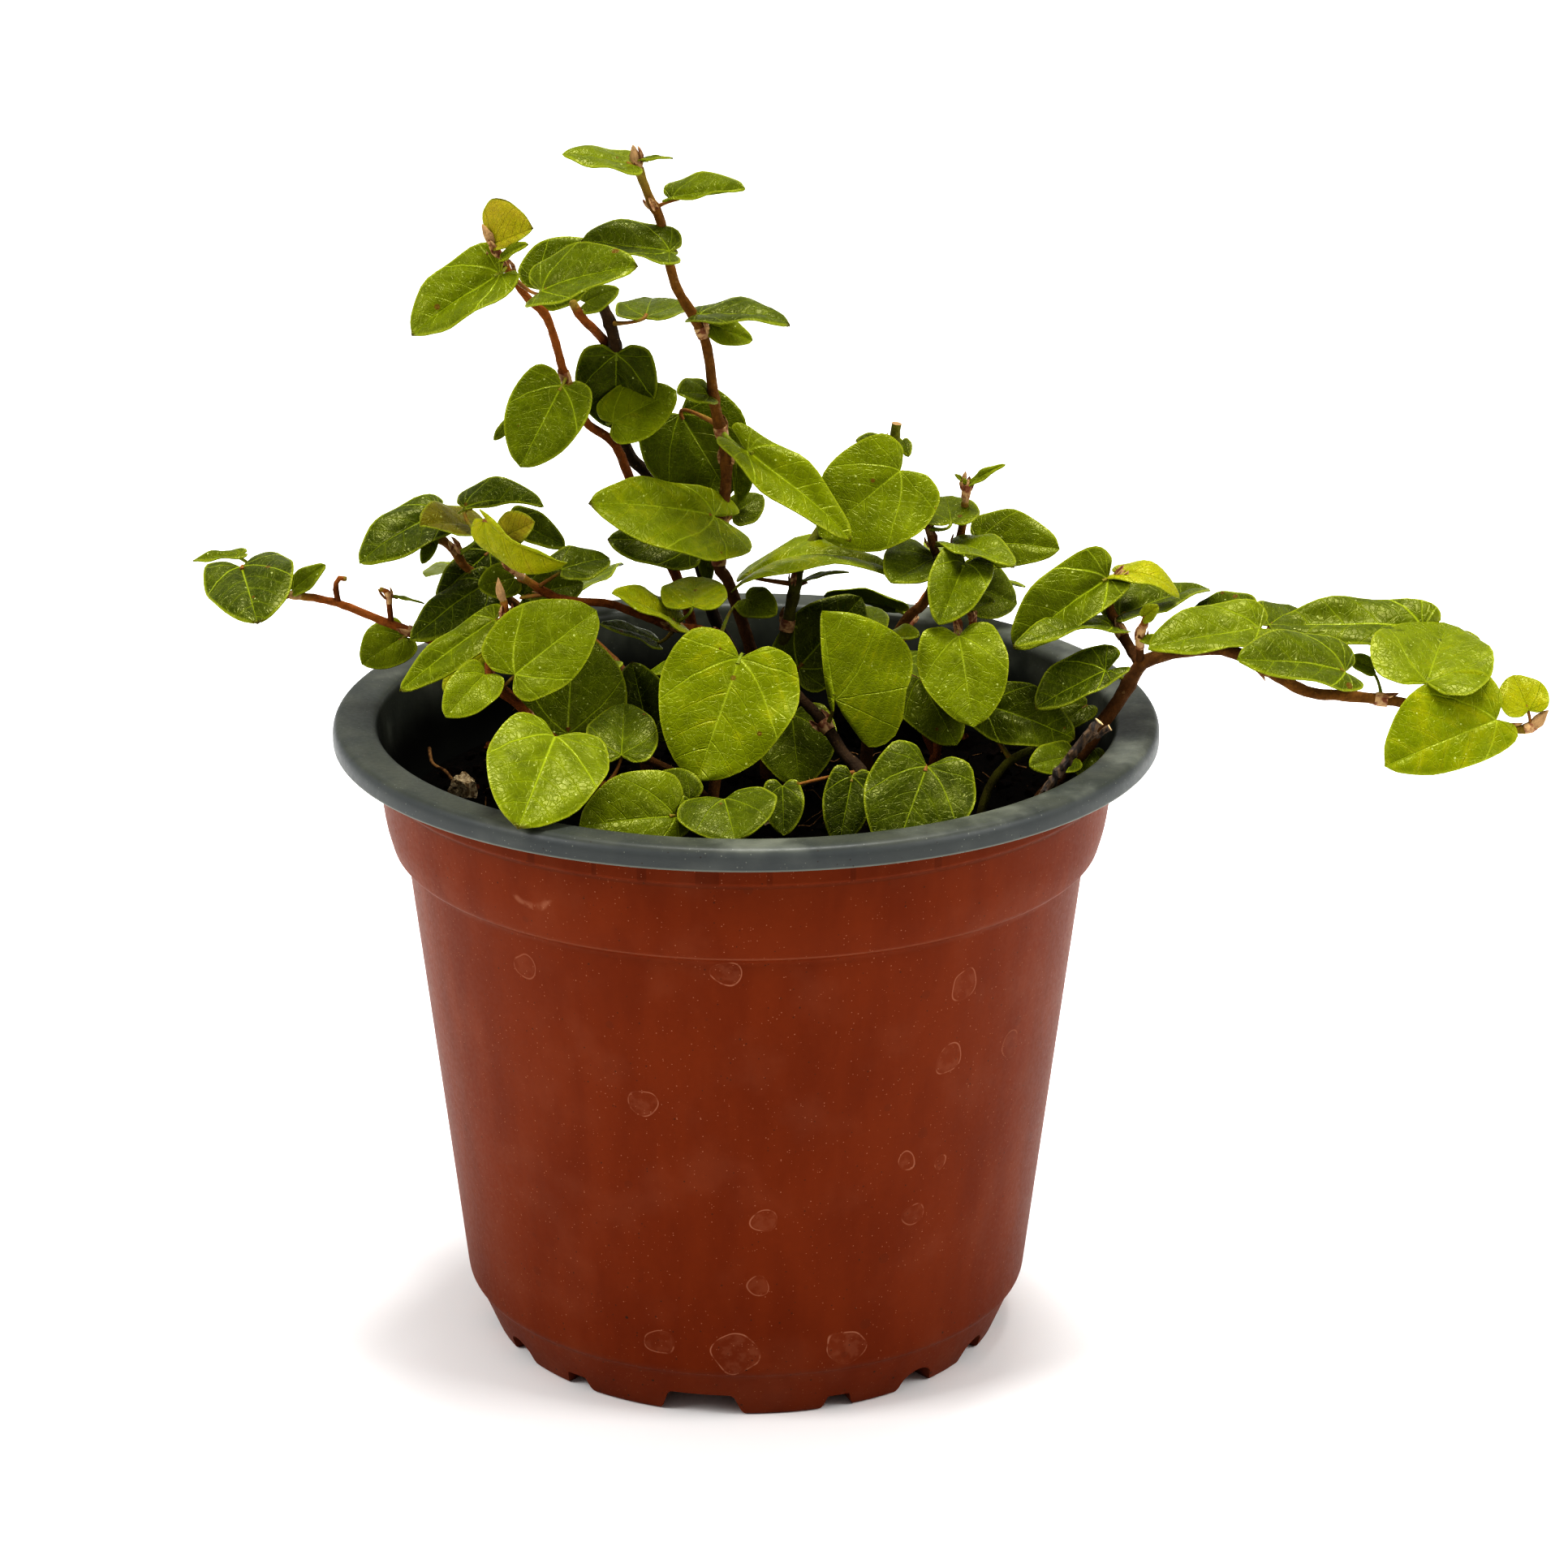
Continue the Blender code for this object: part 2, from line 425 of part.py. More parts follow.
            Leaf((33.6, 55, 102.4), (35, 68, 98.4), (170, 50), (0.46, 0.46), 7, 22),
        ],
    ),
}

# Dry forked twig: standing in the soil, leaning to the right inner wall
TWIG = [
    Shoot((0.9, 0.62), [
        (39, -24, 72.5), (39, -24, 82), (41.9, -22.2, 89.1), (43.3, -22, 91.7),
        (45.3, -22, 94.6), (47.8, -22, 98.2), (49.7, -22, 100.5),
    ]),
    Shoot((0.5, 0.42), [(45.3, -22, 94.6), (47.6, -21, 97), (49.5, -21, 98.2), (51.3, -21, 99.3)]),
]


def clear_scene():
    """Remove every object and mesh that the file opened with."""
    for thing in list(bpy.data.objects):
        bpy.data.objects.remove(thing, do_unlink=True)
    for mesh in list(bpy.data.meshes):
        bpy.data.meshes.remove(mesh)


def material(name):
    """Return a Principled material with the colour and roughness kept for this name."""
    red, green, blue, rough = COLOURS[name]
    made = bpy.data.materials.new(name)
    made.use_nodes = True
    shader = made.node_tree.nodes["Principled BSDF"]
    shader.inputs["Base Color"].default_value = (red, green, blue, 1.0)
    shader.inputs["Roughness"].default_value = rough
    shader.inputs["Metallic"].default_value = 0.0
    return made


def object_from(bm, name):
    """Turn a bmesh in millimetres into an object in metres, with its faces pointing out."""
    bmesh.ops.recalc_face_normals(bm, faces=bm.faces)
    bmesh.ops.scale(bm, vec=(MM, MM, MM), verts=bm.verts)
    mesh = bpy.data.meshes.new(name)
    bm.to_mesh(mesh)
    bm.free()
    made = bpy.data.objects.new(name, mesh)
    bpy.context.scene.collection.objects.link(made)
    return made


def finish(thing, look):
    """Give an object its material and smooth its round sides."""
    thing.data.materials.clear()
    thing.data.materials.append(look)
    thing.data.shade_smooth()
    thing.data.set_sharp_from_angle(angle=math.radians(SHARP_ANGLE))


def spun(profile, steps):
    """Spin an open profile of (radius, height) points, which starts and ends on the axis."""
    bm = bmesh.new()
    verts = [bm.verts.new((radius, 0.0, height)) for radius, height in profile]
    edges = [bm.edges.new(pair) for pair in zip(verts, verts[1:])]
    bmesh.ops.spin(
        bm, geom=verts + edges, cent=(0, 0, 0), axis=(0, 0, 1),
        angle=math.tau, steps=steps, use_merge=True,
    )
    bmesh.ops.remove_doubles(bm, verts=bm.verts, dist=0.01)
    return bm


def apply_boolean(target, operation, collection, solver="EXACT"):
    """Join or cut a target with all objects of a collection, then remove those objects."""
    step = target.modifiers.new(operation, "BOOLEAN")
    step.operation = operation
    step.solver = solver
    step.operand_type = "COLLECTION"
    step.collection = collection
    graph = bpy.context.evaluated_depsgraph_get()
    mesh = bpy.data.meshes.new_from_object(target.evaluated_get(graph))
    target.modifiers.clear()
    target.data = mesh
    for thing in list(collection.objects):
        bpy.data.objects.remove(thing, do_unlink=True)
    bpy.data.collections.remove(collection)


def linked_verts(start):
    """Return all corners of the shell that a corner belongs to."""
    found = {start}
    waiting = [start]
    while waiting:
        for edge in waiting.pop().link_edges:
            other = [vert for vert in edge.verts if vert not in found]
            found.update(other)
            waiting.extend(other)
    return found


def keep_largest_shell(thing):
    """Drop the loose scraps and sealed hollows that joining leaves, keeping the largest shell."""
    bm = bmesh.new()
    bm.from_mesh(thing.data)
    left = set(bm.verts)
    largest = set()
    while left:
        shell = linked_verts(next(iter(left)))
        left -= shell
        largest = max(largest, shell, key=len)
    spare = [vert for vert in bm.verts if vert not in largest]
    bmesh.ops.delete(bm, geom=spare, context="VERTS")
    bm.to_mesh(thing.data)
    bm.free()


def gather(name, things):
    """Move objects into a collection of their own."""
    group = bpy.data.collections.new(name)
    bpy.context.scene.collection.children.link(group)
    for thing in things:
        bpy.context.scene.collection.objects.unlink(thing)
        group.objects.link(thing)
    return group


def azimuth_direction(degrees):
    """Return the level direction at an azimuth: 0 is the front, 90 is +X."""
    turn = math.radians(degrees)
    return Vector((math.sin(turn), -math.cos(turn), 0.0))


def notch_cutter(azimuth, half_angle, height):
    """Make the prism that cuts one notch through the foot ring, flared at the floor."""
    outward = azimuth_direction(azimuth)
    along = Vector((0, 0, 1)).cross(outward)
    half = FOOT_RADIUS * math.sin(math.radians(half_angle))
    side = [(half + NOTCH_FLARE, BELOW_FLOOR), (half, NOTCH_FLARE), (NOTCH_TAPER * half, height)]
    section = side + [(-across, up) for across, up in reversed(side)]
    start = outward * NOTCH_START_RADIUS
    bm = bmesh.new()
    inner = [bm.verts.new(start + along * across + Vector((0, 0, up))) for across, up in section]
    face = bm.faces.new(inner)
    grown = bmesh.ops.extrude_face_region(bm, geom=[face])
    moved = [item for item in grown["geom"] if isinstance(item, bmesh.types.BMVert)]
    bmesh.ops.translate(bm, verts=moved, vec=outward * NOTCH_REACH)
    return object_from(bm, "notch_cutter")


def drain_cutter(azimuth):
    """Make the plug that cuts one drain hole through the floor."""
    bm = bmesh.new()
    bmesh.ops.create_cone(
        bm, cap_ends=True, segments=HOLE_SIDES, radius1=DRAIN_RADIUS, radius2=DRAIN_RADIUS,
        depth=2 * FLOOR_TOP + 2.0)
    centre = azimuth_direction(azimuth) * DRAIN_CIRCLE
    bmesh.ops.translate(bm, verts=bm.verts, vec=centre)
    return object_from(bm, "drain_cutter")


def make_pot():
    """Build the pot: a turned shell with a notched foot and drain holes."""
    pot = object_from(spun(POT_PROFILE, POT_STEPS), "pot")
    cutters = []
    for sector in range(NOTCH_SECTORS):
        middle = NOTCH_START + sector * 360.0 / NOTCH_SECTORS
        for offset, half_angle, height in NOTCHES:
            cutters.append(notch_cutter(middle + offset, half_angle, height))
    for index in range(DRAIN_HOLES):
        cutters.append(drain_cutter(DRAIN_FIRST + index * 360.0 / DRAIN_HOLES))
    apply_boolean(pot, "DIFFERENCE", gather("pot_cutters", cutters))
    finish(pot, material("pot"))
    return pot


def soil_bump(x, y):
    """Return the rise of the soil's surface at a place, in mm."""
    swell = math.sin(SOIL_SWELL[0] * x + SOIL_PHASE) * math.cos(SOIL_SWELL[1] * y)
    ripple = math.sin(SOIL_RIPPLE[0] * x - SOIL_RIPPLE[1] * y)
    return SOIL_BUMP * (SWELL_SHARE * swell + (1 - SWELL_SHARE) * ripple)


def make_soil():
    """Build the plug of soil, with a plain hole for each stem and for the twig."""
    profile = SOIL_SIDE + SOIL_RINGS + [(0.0, SOIL_CENTRE)]
    bm = spun(profile, SOIL_STEPS)
    for vert in bm.verts:
        if vert.co.z > SOIL_SIDE[-1][1] + SOIL_EDGE:
            vert.co.z += soil_bump(vert.co.x, vert.co.y)
    soil = object_from(bm, "soil")
    feet = [shoots[0] for shoots, _ in PLANT.values()] + [TWIG[0]]
    holes = [hole_cutter(foot) for foot in feet]
    apply_boolean(soil, "DIFFERENCE", gather("soil_holes", holes))
    finish(soil, material("soil"))
    return soil


def hole_cutter(shoot):
    """Make the plug that cuts the hole which a shoot stands in."""
    radius = shoot.radii[0] + HOLE_CLEARANCE
    bm = bmesh.new()
    bmesh.ops.create_cone(
        bm, cap_ends=True, segments=HOLE_SIDES, radius1=radius, radius2=radius,
        depth=HOLE_CUTTER_LENGTH)
    foot_x, foot_y, _ = shoot.route[0]
    bmesh.ops.translate(bm, verts=bm.verts, vec=(foot_x, foot_y, HOLE_FLOOR + HOLE_CUTTER_LENGTH / 2))
    return object_from(bm, "hole_cutter")


def smooth_route(points):
    """Run a Catmull-Rom curve through the points; the first stretch stays straight."""
    knots = [Vector(point) for point in points]
    route = [knots[0]]
    for index in range(1, len(knots) - 1):
        before, start, end = knots[index - 1], knots[index], knots[index + 1]
        after = knots[min(index + 2, len(knots) - 1)]
        route.append(start)
        if (end - start).length > LONG_STRETCH:
            route.append(catmull_rom(before, start, end, after, 0.5))
    route.append(knots[-1])
    return route


def catmull_rom(before, start, end, after, t):
    """Return the point at share t of the stretch from start to end."""
    return 0.5 * (
        2 * start + (end - before) * t
        + (2 * before - 5 * start + 4 * end - after) * t * t
        + (3 * start - before - 3 * end + after) * t ** 3
    )


def sweep(bm, face, path, sizes):
    """Extrude a face along a path, turning it with the path and scaling it to each size.

    The face lies at path[0] with its corners sizes[0] from the path; each later point of the
    path gets one more ring of corners.
    """
    heading = (path[1] - path[0]).normalized()
    for index in range(1, len(path)):
        last = index == len(path) - 1
        ahead = path[index] - path[index - 1] if last else path[index + 1] - path[index - 1]
        turned = heading.rotation_difference(ahead.normalized())
        grown = bmesh.ops.extrude_discrete_faces(bm, faces=[face])
        face = grown["faces"][0]
        growth = sizes[index] / sizes[index - 1]
        for vert in face.verts:
            offset = turned @ (vert.co - path[index - 1])
            vert.co = path[index] + offset * growth
        heading = ahead.normalized()
    return face


def make_shoot(shoot):
    """Build one closed, tapering round shoot."""
    path = smooth_route(shoot.route)
    first, last = shoot.radii
    sizes = [first + (last - first) * index / (len(path) - 1) for index in range(len(path))]
    heading = (path[1] - path[0]).normalized()
    turn = Vector((0, 0, 1)).rotation_difference(heading).to_matrix()
    bm = bmesh.new()
    bmesh.ops.create_circle(bm, cap_ends=True, segments=STEM_SIDES, radius=sizes[0])
    bmesh.ops.rotate(bm, cent=(0, 0, 0), matrix=turn, verts=bm.verts)
    bmesh.ops.translate(bm, verts=bm.verts, vec=path[0])
    bm.faces.ensure_lookup_table()
    sweep(bm, bm.faces[0], path, sizes)
    bmesh.ops.holes_fill(bm, edges=bm.edges, sides=STEM_SIDES)
    return object_from(bm, "shoot")


def leaf_axes(leaf):
    """Return the leaf's forward, right and upper directions."""
    forward = (Vector(leaf.tip) - Vector(leaf.base)).normalized()
    azimuth, elevation = leaf.face
    lift = math.radians(elevation)
    facing = azimuth_direction(azimuth) * math.cos(lift) + Vector((0, 0, math.sin(lift)))
    upper = (facing - forward * facing.dot(forward)).normalized()
    return forward, forward.cross(upper), upper


def blade_point(leaf, across, along):
    """Return a point of the blade's middle surface and the surface's upper direction there.

    across runs from -1 at the left edge over 0 at the midrib to 1 at the right edge, along
    from 0 at the notch to 1 at the tip. The midrib is an arc whose ends stay in place.
    """
    forward, right, upper = leaf_axes(leaf)
    chord = (Vector(leaf.tip) - Vector(leaf.base)).length
    bend = math.radians(max(leaf.bend, LEAST_BEND))
    arc = chord * (bend / 2) / math.sin(bend / 2)
    heading = bend / 2 - bend * along
    run = arc / bend * (math.sin(bend / 2) - math.sin(heading))
    rise = arc / bend * (math.cos(heading) - math.cos(bend / 2))
    local_up = upper * math.cos(heading) - forward * math.sin(heading)
    middle = Vector(leaf.base) + forward * run + upper * rise
    side = leaf.half[1] if across > 0 else leaf.half[0]
    width = abs(across) * side * chord
    fold = math.radians(leaf.fold)
    sign = 1.0 if across > 0 else -1.0
    wave = EDGE_WAVE * chord * across * across * math.sin(WAVE_PITCH * along + WAVE_SHIFT * sign)
    point = middle + right * (sign * width * math.cos(fold)) + local_up * (width * math.sin(fold) + wave)
    if abs(across) < MIDRIB_ZONE:
        return point, local_up / math.cos(fold)
    return point, local_up * math.cos(fold) - right * (sign * math.sin(fold))


def zip_triangles(bm, inner, outer):
    """Fill the strip between two chains that share their first and last corners."""
    step_in, step_out = 0, 0
    while step_in < len(inner) - 1 or step_out < len(outer) - 1:
        share_in = (step_in + 1) / (len(inner) - 1) if step_in < len(inner) - 1 else 2.0
        share_out = (step_out + 1) / (len(outer) - 1) if step_out < len(outer) - 1 else 2.0
        corners = [inner[step_in], outer[step_out]]
        if share_in < share_out:
            step_in += 1
            corners.append(inner[step_in])
        else:
            step_out += 1
            corners.append(outer[step_out])
        if len(set(corners)) == 3:
            bm.faces.new(corners)


def blade_side(bm, leaf, lift, notch_share):
    """Lay one face of the blade, lifted from the middle surface, and return its outline."""
    chord = (Vector(leaf.tip) - Vector(leaf.base)).length
    large = chord > LARGE_LEAF
    outline = LARGE_OUTLINE if large else SMALL_OUTLINE
    midrib = LARGE_MIDRIB if large else SMALL_MIDRIB

    def corner(across, along):
        lobed = along < 0 and leaf.half[across > 0] >= SLIM_HALF
        place, up = blade_point(leaf, across, along * leaf.lobe if lobed else along)
        return bm.verts.new(place + up * lift)

    tip = corner(0.0, 1.0)
    ribs = [corner(0.0, along) for along in midrib]
    notch = {}
    edges = {}
    for sign in (-1.0, 1.0):
        notch[sign] = corner(sign * notch_share[sign], 0.0)
        edges[sign] = [corner(sign * share, along) for share, along in outline]
        zip_triangles(bm, [notch[sign]] + ribs + [tip], [notch[sign]] + edges[sign] + [tip])
    bm.faces.new((notch[-1.0], notch[1.0], ribs[0]))
    return [notch[1.0]] + edges[1.0] + [tip] + edges[-1.0][::-1] + [notch[-1.0]]


def leaf_stalk(leaf, root):
    """Return the curved path of the stalk from the blade's notch to its root in the stem."""
    forward, _, upper = leaf_axes(leaf)
    base = Vector(leaf.base)
    reach = (root - base).length
    back = min(STALK_BACK * reach, STALK_BOW)
    bow = base - forward * back - upper * (STALK_DROP * reach)
    middle = (base + root) * STALK_ENDS + bow * (1 - 2 * STALK_ENDS)
    return [base, middle, root]


def hooked_stalk(leaf, root):
    """Build the stalk of a leaf whose root lies ahead of its notch: it turns back in a hook."""
    forward, _, upper = leaf_axes(leaf)
    base = Vector(leaf.base)
    reach = (root - base).length
    start = base + forward * STALK_OVERLAP
    pull = base - forward * min(2 * STALK_BOW, reach) - upper * (STALK_DROP * min(reach, STALK_BOW))
    route = []
    for step in range(HOOK_STEPS + 1):
        share = step / HOOK_STEPS
        route.append(start.lerp(pull, share).lerp(pull.lerp(root, share), share))
    return make_shoot(Shoot((PETIOLE_SIZE, PETIOLE_SIZE), route))


def make_leaf(leaf, root):
    """Build a leaf's closed pieces: the blade, with its stalk drawn out of the notch or hooked."""
    forward, _, _ = leaf_axes(leaf)
    chord = (Vector(leaf.tip) - Vector(leaf.base)).length
    narrow = [min(PETIOLE_SIZE / (half * chord), WIDEST_NOTCH) for half in leaf.half]
    notch_share = {-1.0: narrow[0], 1.0: narrow[1]}
    bm = bmesh.new()
    top = blade_side(bm, leaf, BLADE_THICKNESS / 2, notch_share)
    bottom = blade_side(bm, leaf, -BLADE_THICKNESS / 2, notch_share)
    for index in range(len(top) - 1):
        bm.faces.new((top[index], top[index + 1], bottom[index + 1], bottom[index]))
    seat = bm.faces.new((top[-1], top[0], bottom[0], bottom[-1]))
    hooked = (root - Vector(leaf.base)).dot(forward) > 0
    if not hooked:
        sweep(bm, seat, leaf_stalk(leaf, root), [1.0, 1.0, 1.0])
    bmesh.ops.triangulate(bm, faces=bm.faces)
    blade = object_from(bm, "leaf")
    return [blade, hooked_stalk(leaf, root)] if hooked else [blade]


def nearest_on_shoots(shoots, leaf):
    """Return the point of the shoots' centre lines that a leaf's stalk grows from."""
    forward, _, _ = leaf_axes(leaf)
    target = Vector(leaf.base) - forward * STALK_BOW - Vector((0, 0, STALK_LEAN))
    best = None
    for shoot in shoots:
        path = smooth_route(shoot.route)
        for start, end in zip(path, path[1:]):
            span = end - start
            share = (target - start).dot(span) / span.length_squared
            share = min(max(share, SHOOT_END), 1 - SHOOT_END)
            point = start + span * share
            gap = (point - target).length
            if best is None or gap < best[0]:
                best = (gap, point)
    return best[1]


def make_stem(name, shoots, leaves, look):
    """Build one leafy stem as one body: its shoots and leaves joined."""
    things = [make_shoot(shoot) for shoot in shoots]
    for leaf in leaves:
        things += make_leaf(leaf, nearest_on_shoots(shoots, leaf))
    stem = things.pop(0)
    stem.name = name
    if things:
        apply_boolean(stem, "UNION", gather(name + "_pieces", things))
        keep_largest_shell(stem)
    finish(stem, look)
    return stem


def main():
    """Build the pot, the soil, the twig and every leafy stem."""
    clear_scene()
    make_pot()
    make_soil()
    make_stem("dry_twig", TWIG, [], material("dry_twig"))
    green = material("leaf")
    for name, (shoots, leaves) in PLANT.items():
        make_stem(name, shoots, leaves, green)


main()
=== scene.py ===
"""Creeping fig in a plastic nursery pot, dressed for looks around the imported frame.

Each solid of the frame is replaced by one finer piece of the same form: leafy stems with veined
blades, bark and stalks, the two-layer pot, and soil with crumbs, roots and grains. Tables are in
millimetres in the frame's own axes: +X right, +Z up, -Y to the front. MM turns them into metres
when a piece is made. The same helpers build every leafy stem from its row of PLANT.
"""
import logging
import math
import random
from dataclasses import dataclass, field
from enum import Enum
from typing import Iterable, Optional, Sequence

import bmesh
import bpy
from mathutils import Matrix, Vector, noise


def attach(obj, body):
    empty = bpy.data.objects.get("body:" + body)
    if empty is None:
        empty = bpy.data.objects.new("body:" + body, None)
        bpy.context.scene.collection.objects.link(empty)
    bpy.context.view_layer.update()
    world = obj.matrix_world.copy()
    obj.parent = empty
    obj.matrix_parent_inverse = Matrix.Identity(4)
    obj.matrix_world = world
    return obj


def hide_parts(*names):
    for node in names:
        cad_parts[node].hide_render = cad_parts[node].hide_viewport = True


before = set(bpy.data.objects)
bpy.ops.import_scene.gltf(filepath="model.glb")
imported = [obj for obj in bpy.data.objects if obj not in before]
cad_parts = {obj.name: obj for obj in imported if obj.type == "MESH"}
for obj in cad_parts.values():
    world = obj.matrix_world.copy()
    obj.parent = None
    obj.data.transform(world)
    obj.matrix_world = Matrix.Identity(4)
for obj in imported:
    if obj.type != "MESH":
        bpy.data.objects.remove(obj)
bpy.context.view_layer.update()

LOG = logging.getLogger("creeping_fig")
MM = 0.001
UP = Vector((0.0, 0.0, 1.0))
# Seed of the vector noise that roughens the lumps: without one, it follows the clock
NOISE_SEED = 1

# Frame of the reference picture, in pixels, and the camera that saw it
PICTURE_SIZE = 1932.0
PRINCIPAL_POINT = (919.25, 1071.5)
FOCAL_PIXELS = 5696.0
SENSOR_MM = 36.0
CAMERA_PLACE = (0.0, -0.63908, 0.30535)
CAMERA_PITCH = 20.2

# Vein pattern of a blade, as shares of its length, and the turns of the veins in its base lobes
VEIN_SPACING = 0.225
VEIN_SLOPE = 0.55
VEIN_BOW = 1.2
VEIN_STAGGER = 0.06
LOBE_VEINS = (0.02, -0.55)

# Half outline of a blade from the notch to the tip: share of the half width, share of the length
OUTLINE = [
    (0.0, 0.0), (0.12, -0.06), (0.38, -0.13), (0.80, -0.06), (1.0, 0.28),
    (0.84, 0.62), (0.40, 0.90), (0.0, 1.0),
]
# The stretch of the outline that a blade's grid covers, how its rows crowd, and how uneven its edge is
OUTLINE_START, OUTLINE_RUN = 0.03, 0.94
ROW_POWER = 1.15
EDGE_NOISE = 0.05
# Wave of a margin: height as a share of the length, pitch, and shift between the two sides
EDGE_WAVE = 0.035
WAVE_PITCH = 9.0
WAVE_SHIFT = 2.0
# Least bend in degrees, how fast the fold sets in, and the half width under which there is no lobe
LEAST_BEND = 0.5
FOLD_RATE = 5.0
SLIM_HALF = 0.15

# Relief of a blade, as shares of its length: the swell between veins, the midrib's groove and its
# half width, the height and pitches of the broad and the fine unevenness, and the curl of the edge
VEIN_SWELL = 0.017
RIB_GROOVE = 0.010
RIB_HALF = 0.03
UNEVENNESS = ((0.03, 1.4, 1.8), (0.007, 4.5, 5.5))
EDGE_CURL = -0.03
# Tone from which an older blade curls down, and width in mm over which its edge thins out
FLAT_TONE = 0.25
THIN_EDGE = 1.2
# Height of the leaf map, and how far below the notch it begins, as shares of a blade's length
MAP_SPAN, MAP_SHIFT = 1.6, 0.4

# Ends of a shoot. The bud: share of its length, width as a share of the shoot's. The others: step
# and width, both as shares of the end radius
BUD_SHAPE = (
    (0.06, 0.88), (0.20, 1.14), (0.42, 1.20), (0.62, 0.96), (0.80, 0.62), (0.93, 0.32), (1.0, 0.08),
)
ROUND_END = ((0.25, 0.85), (0.6, 0.5), (0.9, 0.15))
CUT_END = ((0.05, 1.04), (0.12, 0.80))
# Tone that marks a bud or a cut end for the bark's finish
BUD_TONE = -1.0
# Pitch of the bark's unevenness, and radii of a hair, in mm
BARK_PITCH = 1.3
HAIR_RADII = (0.045, 0.012)

# Dried drops seen on the pot: azimuth in degrees, height and radius in mm, strength
WATER_MARKS = (
    (-3, 73, 1.7, 0.9), (-18, 52, 2.1, 0.8), (37, 56, 2.3, 0.8), (30, 41, 1.6, 0.8), (37, 39, 1.2, 0.8),
    (3, 34, 1.8, 0.9), (53, 54, 2.0, 0.5), (-2, 12, 3.3, 1.0), (20, 12, 3.0, 1.0), (2, 23, 1.6, 0.7),
    (-17, 13, 2.0, 0.7), (32, 32, 1.8, 0.6), (39, 67, 2.2, 0.7), (-39, 70, 1.8, 0.5),
)
# The curved smear seen on the band: azimuth in degrees, height of its foot and radius in mm
SMEAR = (-33.8, 81.0, 3.7)
# Greatest radius of a speck, as a share of its cell
GREATEST_SPECK = 0.34
# Outer side of the pot: radius and height at both ends of the wall, and the band's step and start
WALL_ENDS = ((41.9, 8.4), (49.7, 75.1))
BAND_STEP, BAND_START = 2.2, 76.0
# Nicks in the rib under the rim: azimuth and half width, in degrees. The wall is darkened there as
# painted shade
NICKS = (
    (-33.0, 0.5), (-22.5, 0.25), (-15.2, 0.6), (-5.6, 1.6), (3.4, 0.3), (15.6, 0.3), (29.0, 0.5),
    (118.0, 0.4), (141.0, 1.2), (166.0, 0.3), (-152.0, 0.5), (-117.0, 0.9),
)


class Bark(Enum):
    """Kinds of bark, from the reddish young stems to the dark old ones."""

    REDDISH = 0.0
    BROWN = 0.33
    DARK = 0.66
    OLIVE = 1.0


class End(Enum):
    """Ends that the first shoot of a stem can have."""

    BUD = 0
    CUT = 1
    ROUND = 2


class Look(Enum):
    """Finishes that the parts of a leafy stem can take, in material order."""

    BLADE = 0
    BARK = 1
    STALK = 2
    SHEATH = 3


@dataclass(frozen=True)
class Leaf:
    """One leaf, in mm and degrees.

    base and tip are the ends of the midrib, face the azimuth and elevation that the upper side
    looks to (azimuth 0 is the front), half the left and right half widths as shares of the
    length, fold the rise of each half from the midrib, bend the droop along the midrib, tone
    its age from 0 for a bud to 1 for the darkest, and lobe the reach of the base lobes.
    """

    base: tuple
    tip: tuple
    face: tuple
    half: tuple
    fold: float
    bend: float
    tone: float
    lobe: float = 1.0

    @property
    def chord(self) -> float:
        """Return the length of the midrib from end to end, in mm."""
        return (Vector(self.tip) - Vector(self.base)).length

    def axes(self) -> tuple:
        """Return the forward, right and upper directions of the leaf."""
        forward = (Vector(self.tip) - Vector(self.base)).normalized()
        azimuth, lift = (math.radians(angle) for angle in self.face)
        level = math.cos(lift)
        facing = Vector((math.sin(azimuth) * level, -math.cos(azimuth) * level, math.sin(lift)))
        upper = (facing - forward * facing.dot(forward)).normalized()
        return forward, forward.cross(upper), upper

    def surface(self, across: float, along: float) -> tuple:
        """Return a point of the blade's middle surface, and the upper direction there.

        Args:
            across: place from -1 at the left edge to 1 at the right edge.
            along: place from 0 at the notch to 1 at the tip.

        Returns:
            The point and the unit direction, both as vectors.
        """
        forward, right, upper = self.axes()
        bend = math.radians(max(self.bend, LEAST_BEND))
        arc = self.chord * (bend / 2) / math.sin(bend / 2)
        heading = bend / 2 - bend * along
        run = arc / bend * (math.sin(bend / 2) - math.sin(heading))
        rise = arc / bend * (math.cos(heading) - math.cos(bend / 2))
        local_up = upper * math.cos(heading) - forward * math.sin(heading)
        middle = Vector(self.base) + forward * run + upper * rise
        sign = 1.0 if across > 0 else -1.0
        width = abs(across) * self.half[across > 0] * self.chord
        fold = math.radians(self.fold) * min(1.0, abs(across) * FOLD_RATE)
        phase = WAVE_PITCH * along + WAVE_SHIFT * sign
        lift = width * math.sin(fold) + EDGE_WAVE * self.chord * across * across * math.sin(phase)
        point = middle + right * (sign * width * math.cos(fold)) + local_up * lift
        return point, local_up * math.cos(fold) - right * (sign * math.sin(fold))


@dataclass(frozen=True)
class Shoot:
    """One round stem or side shoot: its end radii and the points it runs through, in mm.

    bark is its own kind of bark, or None for the kind of its leafy stem.
    """

    radii: tuple
    route: list
    bark: Optional[Bark] = None


def srgb(red: int, green: int, blue: int) -> tuple:
    """Return the linear colour, with full alpha, of 8-bit display values."""
    def linear(value: int) -> float:
        share = value / 255.0
        return share / 12.92 if share <= 0.04045 else ((share + 0.055) / 1.055) ** 2.4

    return (linear(red), linear(green), linear(blue), 1.0)


